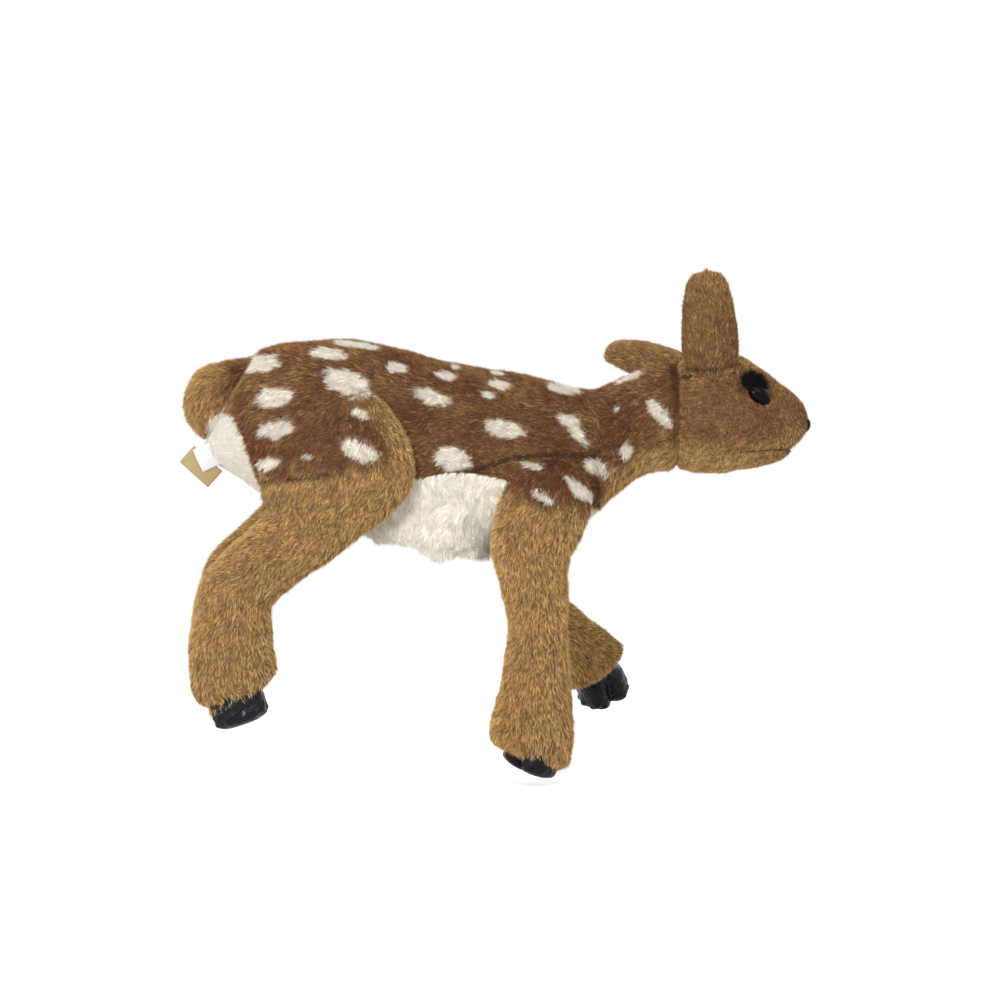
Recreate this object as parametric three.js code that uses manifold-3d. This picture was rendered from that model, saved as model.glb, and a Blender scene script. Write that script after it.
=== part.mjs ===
// A plush fawn hand puppet, sewn from pile fabric over padding, with vinyl hooves and plastic eyes.
// Millimetres, +X towards the nose, +Z up, origin at the middle of the hand opening under the belly.
// The right side is -Y. The pose at rest is the photographed one.
import * as THREE from 'three';
import { mergeVertices } from 'three/addons/utils/BufferGeometryUtils.js';
import Module from 'manifold-3d';

const wasm = await Module();
wasm.setup();

// Clearances between sewn pieces, and between pieces that turn against each other
const SEAM = 0.3;
const PLAY = 0.6;

// Thickness of the fabrics with the padding behind them
const BODY_WALL = 7;
const HEAD_WALL = 5;
const JAW_WALL = 2.6;
const LEG_WALL = 3.5;
const TAIL_SEAM_DEPTH = 2;
const LINING = 1.2;

// The whole outline from rump to nose: height of the back, of the underside and of the widest
// level, and half the width there, at stations along X
const OUTLINE = [
  { x: -138, top: 66, bottom: 58, widest: 62, half: 5 },
  { x: -133, top: 74, bottom: 51, widest: 62, half: 16 },
  { x: -125, top: 88, bottom: 45, widest: 65, half: 27 },
  { x: -115, top: 108, bottom: 39, widest: 69, half: 35 },
  { x: -102, top: 123, bottom: 30, widest: 72, half: 41 },
  { x: -80, top: 127.5, bottom: 14, widest: 72, half: 46 },
  { x: -50, top: 128.5, bottom: 5, widest: 67, half: 48 },
  { x: -19, top: 122.5, bottom: 2, widest: 60, half: 47 },
  { x: 11, top: 114.5, bottom: 1, widest: 58, half: 46 },
  { x: 41, top: 109.5, bottom: 2, widest: 58, half: 45 },
  { x: 72, top: 103.5, bottom: 6, widest: 61, half: 43 },
  { x: 96, top: 98, bottom: 16, widest: 65, half: 38 },
  { x: 110, top: 99, bottom: 29, widest: 69, half: 33.5 },
  { x: 126, top: 106, bottom: 41, widest: 75, half: 30 },
  { x: 139, top: 110.5, bottom: 45, widest: 78, half: 29 },
  { x: 151, top: 114, bottom: 46.5, widest: 79, half: 29.5 },
  { x: 163, top: 119.5, bottom: 45, widest: 78, half: 32.5 },
  { x: 176, top: 121, bottom: 45, widest: 77, half: 33 },
  { x: 188, top: 118, bottom: 47.5, widest: 76, half: 31.5 },
  { x: 200, top: 110, bottom: 50.5, widest: 75, half: 28 },
  { x: 212, top: 100, bottom: 54.5, widest: 76, half: 23 },
  { x: 221, top: 92.5, bottom: 61, widest: 77, half: 17.5 },
  { x: 226, top: 87, bottom: 67, widest: 77, half: 12 },
  { x: 228, top: 82, bottom: 72, widest: 77, half: 5 },
];

// Seams of the body panels
const BELLY_SEAM_Z = 41;
const CHEST_SEAM_X = 47;
const RUMP_SEAM = { x: -110, z: 62, lean: -18 };

// The room for the hand, over the front legs to the neck
const HAND_ROOM = [
  { x: -44, top: 84, bottom: 38, widest: 61, half: 14 },
  { x: -39, top: 104, bottom: 18, widest: 61, half: 25 },
  { x: -20, top: 114, bottom: 9, widest: 61, half: 31 },
  { x: 8, top: 107, bottom: 9, widest: 60, half: 38 },
  { x: 26, top: 103, bottom: 30, widest: 66, half: 37 },
  { x: 40, top: 101, bottom: 62, widest: 76, half: 36 },
  { x: 68, top: 96.5, bottom: 63, widest: 77, half: 35 },
  { x: 86, top: 91, bottom: 57, widest: 74, half: 29 },
  { x: 106, top: 90, bottom: 54, widest: 72, half: 21 },
];
const RUMP_ROOM = { from: -121, to: -42, half: 23 };
const PASSAGE = { from: 80, to: 157, z: 74, half: 20, rise: 20 };

// The hand opening and the gathered cuff round it
const OPENING = { long: 30, wide: 26 };
const CUFF = { thick: 6, low: -6.5, high: 22, gathers: 9, depth: 1.1 };

// Turning points: ball-shaped cuts at both ends of the neck, the jaw, and the limbs
const NECK = { x: 119.5, z: 72, ball: 37 };
const NAPE = { x: 151, z: 80, ball: 36, turns: 25 };
const JAW = { x: 168, z: 56.6, slope: 6, round: 12, opens: 28 };
const SHOULDER = { x: 68, y: 33.5, z: 26, back: -20, forward: 35 };
const HIP = { x: -57, y: 48, z: 52.5, back: -20, forward: 25 };
const TAIL_ROOT = { x: -117, z: 112, lift: 40 };

// Front leg: half width and half thickness along its length from the shoulder
const FRONT_LEG = [
  { s: 0, wide: 29, thick: 20 },
  { s: 16, wide: 28, thick: 20 },
  { s: 28, wide: 26, thick: 19.5 },
  { s: 50, wide: 21.5, thick: 18 },
  { s: 76, wide: 20, thick: 17.5 },
  { s: 100, wide: 21.5, thick: 18.5 },
  { s: 120, wide: 24, thick: 19.5 },
  { s: 135, wide: 25, thick: 20.5 },
  { s: 147, wide: 23, thick: 19.5 },
];
const SHOULDER_PAD = { round: 30, thick: 20.5 };
const FRONT_BENDS = { thigh: 26, thighBend: 12, knee: 64, kneeBend: 24 };

// Hind leg: the same from the hip, with the haunch as a round pad
const HIND_LEG = [
  { s: 0, wide: 42, thick: 17 },
  { s: 20, wide: 41, thick: 18 },
  { s: 34, wide: 35, thick: 18.5 },
  { s: 46, wide: 29, thick: 19 },
  { s: 60, wide: 25, thick: 19.5 },
  { s: 80, wide: 24, thick: 20 },
  { s: 104, wide: 25, thick: 20 },
  { s: 123, wide: 25.5, thick: 20.5 },
  { s: 141, wide: 26.5, thick: 20.5 },
  { s: 152, wide: 25, thick: 20 },
  { s: 160, wide: 21, thick: 18.5 },
];
const HAUNCH_PAD = { round: 45, thick: 18 };
const HIND_BENDS = { thigh: 44, thighBend: 14, knee: 98, kneeBend: 17 };
const TOE_BEND = 16;

// How each leg lies at rest: the angles of its upper part, thigh, lower part and toe from straight
// down, and how far it is splayed outwards
const LIE = {
  front_leg_right: { upper: -18, thigh: 6, lower: 1, toe: -22, splay: 0 },
  front_leg_left: { upper: -14, thigh: -2, lower: 43, toe: 38, splay: 27 },
  hind_leg_right: { upper: -24, thigh: -49, lower: 1, toe: 27, splay: 0 },
  hind_leg_left: { upper: -40, thigh: -56, lower: 3, toe: 14, splay: 0 },
};

// Hooves: half sizes at the top, length, and how deep the cleft cuts
const HOOF = { wide: 17, thick: 15.5, long: 17, cleft: 0.42, flare: 1.06 };

// Tail along its path
const TAIL = [
  { x: 5, z: -2, wide: 7, thick: 9 },
  { x: -9, z: -5, wide: 9.5, thick: 14 },
  { x: -19, z: -14, wide: 12, thick: 18 },
  { x: -23, z: -26, wide: 12.5, thick: 19 },
  { x: -21.5, z: -36, wide: 10, thick: 15 },
  { x: -20, z: -43, wide: 4, thick: 6 },
];

// Ears: a cupped leaf
const EAR = { long: 61, cup: 10, thick: 4.6, lining: 1.8, hem: 1 };
const EAR_LEAF = [
  { s: 0, half: 14 },
  { s: 0.25, half: 17 },
  { s: 0.6, half: 15.5 },
  { s: 0.85, half: 11.5 },
  { s: 1, half: 5 },
];
const EAR_RIGHT = { x: 169, z: 106, lean: [-0.09, -0.2, 0.97], across: [-1, 0, -0.09], flops: 50 };
const EAR_LEFT = { x: 155, z: 112, lean: [-0.74, 0.68, 0.2], across: [-0.35, -0.75, -0.55], flops: 35 };

// Eyes with their stems and washers, lids and nose
const EYE = { x: 198, z: 92.5, round: 6.4, bulge: 4.6, stem: 1.9, stemLong: 9.5 };
const WASHER = { round: 5.6, thick: 1.5, deep: 7.2 };
const LID = { x: 194, z: 101.5, long: 8, tall: 4.6, bulge: 2.4 };
const NOSE = { z: 76.5, deep: 3.4, half: 7.5, tall: 6 };

// Finger pocket in the head, between the mouth and the crown's filling
const FINGERS = [
  { x: 154, top: 91, bottom: 58, widest: 74, half: 20 },
  { x: 176, top: 91, bottom: 61, widest: 75, half: 22 },
  { x: 194, top: 86, bottom: 63.5, widest: 74, half: 18 },
  { x: 204, top: 78, bottom: 67, widest: 73, half: 9 },
];
const CROWN_FILL_Z = 75;
const MOUTH_PLATE = 1.2;

// Labels sewn into the rump seam, both left blank
const GOLD_LABEL = { x: -141, y: -9, z: 52.5, long: 23, wide: 13, turn: 48 };
const CARE_LABEL = { x: -139, y: -11, z: 56, long: 15, wide: 13, turn: 25 };
const LABEL_THICK = 0.7;

// Fineness of the meshes
const SLICES = 26;
const ROUND = 18;
const LIMB_ROUND = 12;
const PAD_ROUND = 16;
const PATH_STEPS = 11;
const CORE_ROUND = 8;

// Materials
function cloth(color, roughness) {
  return new THREE.MeshStandardMaterial({ color, roughness, metalness: 0 });
}
const spotted = cloth(0x6b4630, 0.95);
const tan = cloth(0xa67c4c, 0.95);
const white = cloth(0xebe6dc, 0.95);
const filling = cloth(0xf4f2ee, 1);
const lining = cloth(0x7a5a3c, 0.9);
const felt = cloth(0x3a2622, 0.95);
const vinyl = cloth(0x16171c, 0.3);
const plastic = cloth(0x0a0808, 0.1);
const washerPlastic = cloth(0xdedede, 0.5);
const goldTape = cloth(0xb29b5f, 0.7);

// A smooth run between stations
function between(stations, at) {
  const keys = Object.keys(stations[0]);
  const places = stations.map((station) => station[at]);
  const values = stations.flatMap((station) => keys.map((key) => station[key]));
  const run = new THREE.CubicInterpolant(places, values, keys.length);
  return (place) => {
    const found = run.evaluate(place);
    return Object.fromEntries(keys.map((key, i) => [key, found[i]]));
  };
}

// A closed surface through rings of points, with a fan over each end
function ringSurface(rings) {
  const count = rings[0].length;
  const points = rings.flat();
  const middle = (ring) => ring.reduce((sum, p) => sum.add(p), new THREE.Vector3()).divideScalar(count);
  const first = points.push(middle(rings[0])) - 1;
  const last = points.push(middle(rings.at(-1))) - 1;
  const end = (rings.length - 1) * count;
  const faces = [];
  for (let j = 0; j < count; j += 1) {
    const next = (j + 1) % count;
    for (let i = 0; i < end; i += count) {
      faces.push(i + j, i + next, i + next + count, i + j, i + next + count, i + j + count);
    }
    faces.push(first, next, j, last, end + j, end + next);
  }
  return new THREE.BufferGeometry().setFromPoints(points).setIndex(faces);
}

// An outline of stations along X turned into a closed surface, made smaller all round by inset
function outlineSurface(stations, slices, inset = 0, round = ROUND) {
  const at = between(stations, 'x');
  const from = stations[0].x;
  const length = stations.at(-1).x - from;
  const rings = [];
  for (let i = 0; i <= slices; i += 1) {
    const share = i / slices;
    const s = at(from + share * length);
    const x = from + inset + share * (length - 2 * inset);
    rings.push(
      Array.from({ length: round }, (_, j) => {
        const angle = (j / round) * 2 * Math.PI;
        const up = Math.sin(angle);
        const reach = up > 0 ? s.top - s.widest : s.widest - s.bottom;
        const half = Math.max(s.half - inset, 0.5);
        return new THREE.Vector3(x, half * Math.cos(angle), s.widest + up * Math.max(reach - inset, 0.5));
      }),
    );
  }
  return ringSurface(rings);
}

// A limb along a path, each section an ellipse square to the path
function limbSurface(stops, round = LIMB_ROUND) {
  const rings = stops.map((stop, i) => {
    const before = stops[Math.max(i - 1, 0)];
    const after = stops[Math.min(i + 1, stops.length - 1)];
    const along = new THREE.Vector3(after.x - before.x, (after.y ?? 0) - (before.y ?? 0), after.z - before.z);
    const side = new THREE.Vector3(0, 1, 0).cross(along).normalize();
    const over = along.normalize().clone().cross(side);
    return Array.from({ length: round }, (_, j) => {
      const angle = (j / round) * 2 * Math.PI;
      const middle = new THREE.Vector3(stop.x, stop.y ?? 0, stop.z);
      middle.addScaledVector(side, stop.wide * Math.cos(angle));
      return middle.addScaledVector(over, stop.thick * Math.sin(angle));
    });
  });
  return ringSurface(rings);
}

// The path of a leg from its joint, bent at the thigh, knee and toe, with its sizes changed by grow
function legPath(sizes, bends, lie, side, grow = 0) {
  const at = between(sizes, 's');
  const ramp = (s, middle, half) => THREE.MathUtils.smoothstep(s, middle - half, middle + half);
  const total = sizes.at(-1).s;
  const step = total / PATH_STEPS;
  const path = [];
  const spot = new THREE.Vector3();
  for (let i = 0; i <= PATH_STEPS; i += 1) {
    const size = at(i * step);
    path.push({ x: spot.x, y: spot.y, z: spot.z, wide: size.wide + grow, thick: size.thick + grow });
    const s = (i + 0.5) * step;
    const thigh = (lie.thigh - lie.upper) * ramp(s, bends.thigh, bends.thighBend);
    const lower = (lie.lower - lie.thigh) * ramp(s, bends.knee, bends.kneeBend);
    const toe = (lie.toe - lie.lower) * ramp(s, total - TOE_BEND, TOE_BEND);
    const angle = THREE.MathUtils.degToRad(lie.upper + thigh + lower + toe);
    const splay = THREE.MathUtils.degToRad(lie.splay) * THREE.MathUtils.smoothstep(s, 0, bends.knee);
    spot.x += step * Math.cos(splay) * Math.sin(angle);
    spot.y += side * step * Math.sin(splay);
    spot.z -= step * Math.cos(splay) * Math.cos(angle);
  }
  return path;
}

function ellipsoid(x, y, z, round) {
  return new THREE.SphereGeometry(1, round, Math.round(round / 2)).rotateX(Math.PI / 2).scale(x, y, z);
}

// A pad that turns about Y: its poles lie on that axis, so that it turns in a like pad a little larger
function padSurface(pad, grow, thicker = grow) {
  const sphere = new THREE.SphereGeometry(1, PAD_ROUND, PAD_ROUND / 2);
  return sphere.scale(pad.round + grow, pad.thick + thicker, pad.round + grow);
}

// Solids: joining and cutting
function solid(geometry) {
  const bare = geometry.clone();
  bare.deleteAttribute('normal');
  bare.deleteAttribute('uv');
  const whole = mergeVertices(bare, 1e-4);
  const vertProperties = new Float32Array(whole.attributes.position.array);
  const triVerts = new Uint32Array(whole.index.array);
  return new wasm.Manifold(new wasm.Mesh({ numProp: 3, vertProperties, triVerts }));
}

function joined(solids) {
  return solids.reduce((sum, one) => sum.add(one));
}

function cut(body, ...tools) {
  return tools.reduce((rest, tool) => rest.subtract(tool), body);
}

function box(x0, x1, y0, y1, z0, z1) {
  const size = new THREE.BoxGeometry(x1 - x0, y1 - y0, z1 - z0);
  return size.translate((x0 + x1) / 2, (y0 + y1) / 2, (z0 + z1) / 2);
}

function ball(place, radius) {
  return solid(new THREE.SphereGeometry(radius, 20, 12).translate(place.x, 0, place.z));
}

function piece(name, shape, material) {
  const found = shape.getMesh();
  const geometry = new THREE.BufferGeometry();
  geometry.setAttribute('position', new THREE.BufferAttribute(found.vertProperties, 3));
  geometry.setIndex(new THREE.BufferAttribute(found.triVerts, 1));
  const flat = geometry.toNonIndexed();
  flat.computeVertexNormals();
  const mesh = new THREE.Mesh(flat, material);
  mesh.name = name;
  return mesh;
}

// Copies of a shape turned about an axis through a point, by every angle of a range
function turned(geometry, place, axis, degrees) {
  const away = new THREE.Vector3(place.x, place.y ?? 0, place.z);
  const copy = geometry.clone().translate(-away.x, -away.y, -away.z);
  copy.applyMatrix4(new THREE.Matrix4().makeRotationAxis(axis, THREE.MathUtils.degToRad(degrees)));
  return copy.translate(away.x, away.y, away.z);
}

function swept(geometry, place, axis, from, to, steps) {
  const angles = Array.from({ length: steps + 1 }, (_, i) => from + (i / steps) * (to - from));
  return joined(angles.map((angle) => solid(turned(geometry, place, axis, angle))));
}

const FAR = 400;
const FORWARD = new THREE.Vector3(0, -1, 0);
const DOWN = new THREE.Vector3(0, 1, 0);
const UP = new THREE.Vector3(0, 0, 1);

const puppet = new THREE.Group();
puppet.name = 'deer_hand_puppet';

// The body as one skin, and the same skin a seam larger for pieces that lie against it
const skin = solid(outlineSurface(OUTLINE, SLICES));
const besideSkin = solid(outlineSurface(OUTLINE, SLICES, -SEAM));

// Where the skin lies on one side, at a place seen from the side, and which way it faces
function onSkin(x, z, side) {
  const at = between(OUTLINE, 'x');
  const point = (px, pz) => {
    const s = at(px);
    const reach = pz > s.widest ? s.top - s.widest : s.widest - s.bottom;
    const half = s.half * Math.sqrt(Math.max(1 - ((pz - s.widest) / reach) ** 2, 0.001));
    return new THREE.Vector3(px, side * half, pz);
  };
  const here = point(x, z);
  const ahead = point(x + 1, z).sub(here);
  const above = point(x, z + 1).sub(here);
  const facing = ahead.cross(above).normalize();
  return { here, facing: facing.y * side < 0 ? facing.negate() : facing };
}

function facing(geometry, place, direction) {
  const turn = new THREE.Quaternion().setFromUnitVectors(new THREE.Vector3(0, 0, 1), direction);
  return geometry.clone().applyQuaternion(turn).translate(place.x, place.y, place.z);
}

// Legs: a plush cover, its filling and a vinyl hoof, built about the joint
function hoofSurface() {
  const rings = Array.from({ length: 5 }, (_, i) => {
    const share = i / 4;
    const shrink = share === 1 ? 0.82 : 1;
    const flare = (1 + (HOOF.flare - 1) * share) * shrink;
    return Array.from({ length: 20 }, (__, j) => {
      const angle = (j / 20) * 2 * Math.PI;
      const off = Math.atan2(Math.sin(angle), Math.cos(angle));
      const notch = 1 - HOOF.cleft * (0.25 + 0.75 * share) * Math.exp(-((off / 0.32) ** 2));
      const wide = HOOF.wide * flare * notch;
      const thick = HOOF.thick * flare * notch;
      return new THREE.Vector3(wide * Math.cos(angle), -thick * Math.sin(angle), -share * HOOF.long);
    });
  });
  return ringSurface(rings);
}

function leg(name, sizes, bends, pad, joint, side) {
  const lie = LIE[name];
  const path = legPath(sizes, bends, lie, side);
  const toe = new THREE.Vector3().copy(path.at(-1));
  const along = toe.clone().sub(path.at(-2)).normalize();
  const shape = (inset, round, past) => {
    const stops = legPath(sizes, bends, lie, side, -inset);
    const end = toe.clone().addScaledVector(along, past);
    stops.push({ ...stops.pop(), x: end.x, y: end.y, z: end.z });
    return joined([solid(limbSurface(stops, round)), solid(padSurface(pad, -inset))]);
  };
  const group = new THREE.Group();
  group.name = `${name}_joint`;
  group.position.set(joint.x, side * joint.y, joint.z);
  group.add(piece(name, cut(shape(0, LIMB_ROUND, 0), shape(LEG_WALL, CORE_ROUND, 2)), tan));
  group.add(piece(`${name}_filling`, shape(LEG_WALL + SEAM, CORE_ROUND, -SEAM), filling));
  const hoof = piece(name.replace('leg', 'hoof'), solid(hoofSurface()), vinyl);
  hoof.position.copy(toe).addScaledVector(along, SEAM);
  hoof.quaternion.setFromUnitVectors(new THREE.Vector3(0, 0, -1), along);
  group.add(hoof);
  puppet.add(group);
  const about = { x: joint.x, y: side * joint.y, z: joint.z };
  const room = PLAY + sizes[0].wide * (1 / Math.cos(Math.PI / CORE_ROUND) - 1);
  const swing = limbSurface(legPath(sizes, bends, lie, side, room), CORE_ROUND).translate(about.x, about.y, about.z);
  const socket = padSurface(pad, PLAY + pad.round * (1 / Math.cos(Math.PI / PAD_ROUND) - 1), SEAM);
  socket.translate(about.x, about.y, about.z);
  return joined([solid(socket), swept(swing, about, FORWARD, joint.back, joint.forward, 4)]);
}

const legRoom = joined([
  leg('front_leg_right', FRONT_LEG, FRONT_BENDS, SHOULDER_PAD, SHOULDER, -1),
  leg('front_leg_left', FRONT_LEG, FRONT_BENDS, SHOULDER_PAD, SHOULDER, 1),
  leg('hind_leg_right', HIND_LEG, HIND_BENDS, HAUNCH_PAD, HIP, -1),
  leg('hind_leg_left', HIND_LEG, HIND_BENDS, HAUNCH_PAD, HIP, 1),
]);

// Body panels round the room for the hand
const rumpStations = OUTLINE.filter((s) => s.x > RUMP_ROOM.from - 5 && s.x < 12).map((s) => ({
  ...s,
  half: Math.min(s.half, RUMP_ROOM.half + BODY_WALL),
}));
const rumpEnds = box(RUMP_ROOM.from, RUMP_ROOM.to, -FAR, FAR, -FAR, FAR);
const rumpRoom = solid(outlineSurface(rumpStations, 12, BODY_WALL, 16)).intersect(solid(rumpEnds));
const handRoom = solid(outlineSurface(HAND_ROOM, 10, 0, 14));
const mouthHole = new THREE.CylinderGeometry(1, 1, 70, 20).rotateX(Math.PI / 2);
const handHole = solid(mouthHole.clone().scale(OPENING.long, OPENING.wide, 1).translate(0, 0, 10));
const passageTube = (inset) => {
  const tube = new THREE.CylinderGeometry(1, 1, PASSAGE.to - PASSAGE.from, 16).rotateZ(Math.PI / 2);
  tube.scale(1, PASSAGE.half - inset, PASSAGE.rise - inset);
  return solid(tube.translate((PASSAGE.from + PASSAGE.to) / 2, 0, PASSAGE.z));
};

const torsoEnd = solid(box(-FAR, NECK.x, -FAR, FAR, -FAR, FAR));
const body = cut(skin.intersect(torsoEnd), ball(NECK, NECK.ball + PLAY), handRoom, rumpRoom, handHole, legRoom);
const rumpCutter = (away) => {
  const block = box(-FAR, away, -FAR, FAR, -FAR, FAR).rotateY(THREE.MathUtils.degToRad(RUMP_SEAM.lean));
  return solid(block.translate(RUMP_SEAM.x, 0, RUMP_SEAM.z));
};
const trunk = cut(body, rumpCutter(SEAM));
const upper = trunk.intersect(solid(box(-FAR, FAR, -FAR, FAR, BELLY_SEAM_Z, FAR)));
const lower = trunk.intersect(solid(box(-FAR, FAR, -FAR, FAR, -FAR, BELLY_SEAM_Z - SEAM)));
const rightHalf = solid(box(-FAR, FAR, -FAR, -SEAM / 2, -FAR, FAR));
const leftHalf = solid(box(-FAR, FAR, SEAM / 2, FAR, -FAR, FAR));
puppet.add(piece('back_panel_right', upper.intersect(rightHalf), spotted));
puppet.add(piece('back_panel_left', upper.intersect(leftHalf), spotted));
const rear = solid(box(-FAR, CHEST_SEAM_X, -FAR, FAR, -FAR, FAR));
const fore = solid(box(CHEST_SEAM_X + SEAM, FAR, -FAR, FAR, -FAR, FAR));
puppet.add(piece('belly_panel', lower.intersect(rear), white));
puppet.add(piece('chest_panel', lower.intersect(fore), white));
puppet.add(piece('rump_panel', body.intersect(rumpCutter(0)), white));

// What lies inside the body: the rump's filling and the lining of the hand's room
const filledRump = outlineSurface(rumpStations, 12, BODY_WALL + SEAM, 16);
const fillEnds = solid(box(RUMP_ROOM.from + SEAM, RUMP_ROOM.to - 8, -FAR, FAR, -FAR, FAR));
puppet.add(piece('rump_filling', cut(solid(filledRump).intersect(fillEnds), handRoom), filling));
const liningOut = solid(outlineSurface(HAND_ROOM, 10, SEAM, 14));
const liningIn = solid(outlineSurface(HAND_ROOM, 10, SEAM + LINING, 14));
const liningCut = cut(liningOut, liningIn, handHole, ball(NECK, NECK.ball + PLAY));
puppet.add(piece('hand_lining', liningCut, lining));

// The gathered cuff of the hand opening
const cuffRings = Array.from({ length: 36 }, (_, i) => {
  const turn = (i / 36) * 2 * Math.PI;
  const fold = CUFF.depth * Math.cos(CUFF.gathers * turn);
  const place = (out, z) => {
    const x = (OPENING.long + out) * Math.cos(turn);
    const y = (OPENING.wide + out) * Math.sin(turn);
    return new THREE.Vector3(x, y, z);
  };
  const outer = CUFF.thick + fold;
  const low = CUFF.low - fold;
  return [
    place(0, CUFF.high),
    place(0, low + 2),
    place(CUFF.thick / 2, low),
    place(outer, low + 3),
    place(CUFF.thick, CUFF.high),
  ];
});
function closedRing(rings) {
  const count = rings[0].length;
  const faces = [];
  rings.forEach((_, i) => {
    const here = i * count;
    const there = ((i + 1) % rings.length) * count;
    for (let j = 0; j < count; j += 1) {
      const next = (j + 1) % count;
      faces.push(here + j, there + next, here + next, here + j, there + j, there + next);
    }
  });
  return new THREE.BufferGeometry().setFromPoints(rings.flat()).setIndex(faces);
}
puppet.add(piece('opening_cuff', cut(solid(closedRing(cuffRings)), besideSkin, legRoom), white));

// Neck: a sleeve between two ball-shaped cuts, with its lining
const behindNape = solid(box(-FAR, NAPE.x, -FAR, FAR, -FAR, FAR));
const pastNeck = solid(box(NECK.x, FAR, -FAR, FAR, -FAR, FAR));
const neckZone = cut(joined([ball(NECK, NECK.ball), pastNeck]).intersect(behindNape), ball(NAPE, NAPE.ball + PLAY));
const neck = skin.intersect(neckZone);
puppet.add(piece('neck_sleeve', cut(neck, passageTube(0)), spotted));
const neckTube = cut(passageTube(SEAM), passageTube(SEAM + LINING));
puppet.add(piece('neck_lining', neckTube.intersect(neckZone), lining));

// The line of the mouth, a block below it that is the jaw's, and the slabs of the mouth plates
function mouthBlock(play) {
  const slope = THREE.MathUtils.degToRad(JAW.slope);
  const shape = new THREE.Shape();
  const round = JAW.round + play;
  const rear = Math.PI - Math.asin(play / round);
  shape.moveTo(90, play);
  shape.lineTo(round * Math.cos(rear), play);
  shape.absarc(0, 0, round, rear, 1.5 * Math.PI, false);
  shape.lineTo(90, -round - 12);
  shape.closePath();
  const block = new THREE.ExtrudeGeometry(shape, { depth: 2 * FAR, bevelEnabled: false, curveSegments: 5 });
  return block.translate(0, 0, -FAR).rotateZ(slope).rotateX(Math.PI / 2).translate(JAW.x, 0, JAW.z);
}
function mouthSlab(low, high) {
  const slab = box(0, 90, -FAR, FAR, low, high).rotateY(THREE.MathUtils.degToRad(-JAW.slope));
  return solid(slab.translate(JAW.x, 0, JAW.z));
}
const jawRoom = swept(mouthBlock(SEAM), JAW, DOWN, 0, JAW.opens, 3);

// Head: two halves over a finger pocket and the crown's filling
const pastNape = solid(box(NAPE.x, FAR, -FAR, FAR, -FAR, FAR));
const headZone = joined([ball(NAPE, NAPE.ball), pastNape]);
const headStations = OUTLINE.filter((s) => s.x > 120);
const neckStations = OUTLINE.filter((s) => s.x > 80 && s.x <= NAPE.x);
const headInside = (inset) =>
  solid(outlineSurface(headStations, 9, inset, 14)).intersect(solid(box(NAPE.x - 6, FAR, -FAR, FAR, -FAR, FAR)));
const eyes = [-1, 1].map((side) => ({ side, ...onSkin(EYE.x, EYE.z, side) }));
const stemHoles = joined(
  eyes.map((eye) => {
    const hole = new THREE.CylinderGeometry(EYE.stem + SEAM, EYE.stem + SEAM, 40, 10).rotateX(Math.PI / 2);
    return solid(facing(hole, eye.here, eye.facing));
  }),
);
const headShell = cut(skin.intersect(headZone), headInside(HEAD_WALL), passageTube(0), jawRoom, stemHoles);
puppet.add(piece('head_half_right', headShell.intersect(rightHalf), tan));
puppet.add(piece('head_half_left', headShell.intersect(leftHalf), tan));
const roof = headInside(HEAD_WALL + SEAM).intersect(mouthSlab(2 * SEAM, 2 * SEAM + MOUTH_PLATE));
puppet.add(piece('mouth_roof', roof, felt));
const pocketOut = solid(outlineSurface(FINGERS, 6, 0, 12));
const pocketRear = box(-FAR, FINGERS[0].x + LINING + 0.6, -FAR, FAR, -FAR, FAR);
const aboveRoof = solid(
  box(-60, 90, -FAR, FAR, 3 * SEAM + MOUTH_PLATE, FAR).rotateY(THREE.MathUtils.degToRad(-JAW.slope))
    .translate(JAW.x, 0, JAW.z),
);
const pocketIn = joined([solid(outlineSurface(FINGERS, 6, LINING, 12)), passageTube(6)]);
const pocket = cut(pocketOut, pocketIn, solid(pocketRear)).intersect(aboveRoof);
puppet.add(piece('finger_pocket', pocket, lining));

const washerDisc = (extra) => {
  const disc = new THREE.CylinderGeometry(WASHER.round + extra, WASHER.round + extra, WASHER.thick + 2 * extra, 16);
  return disc.rotateX(Math.PI / 2).translate(0, 0, -WASHER.deep - WASHER.thick / 2);
};
const stemRod = (extra, long) => {
  const rod = new THREE.CylinderGeometry(EYE.stem + extra, EYE.stem + extra, long, 10).rotateX(Math.PI / 2);
  return rod.translate(0, 0, -long / 2);
};
const hardware = joined(
  eyes.flatMap((eye) => [
    solid(facing(washerDisc(SEAM), eye.here, eye.facing)),
    solid(facing(stemRod(SEAM, EYE.stemLong + SEAM), eye.here, eye.facing)),
  ]),
);
const crownZone = solid(box(NAPE.x + 8, FAR, -FAR, FAR, CROWN_FILL_Z, FAR));
const pocketRoom = solid(outlineSurface(FINGERS, 6, -SEAM, 12));
const crown = cut(headInside(HEAD_WALL + SEAM).intersect(crownZone), pocketRoom, passageTube(-SEAM), hardware);
puppet.add(piece('head_filling', crown, filling));

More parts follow.
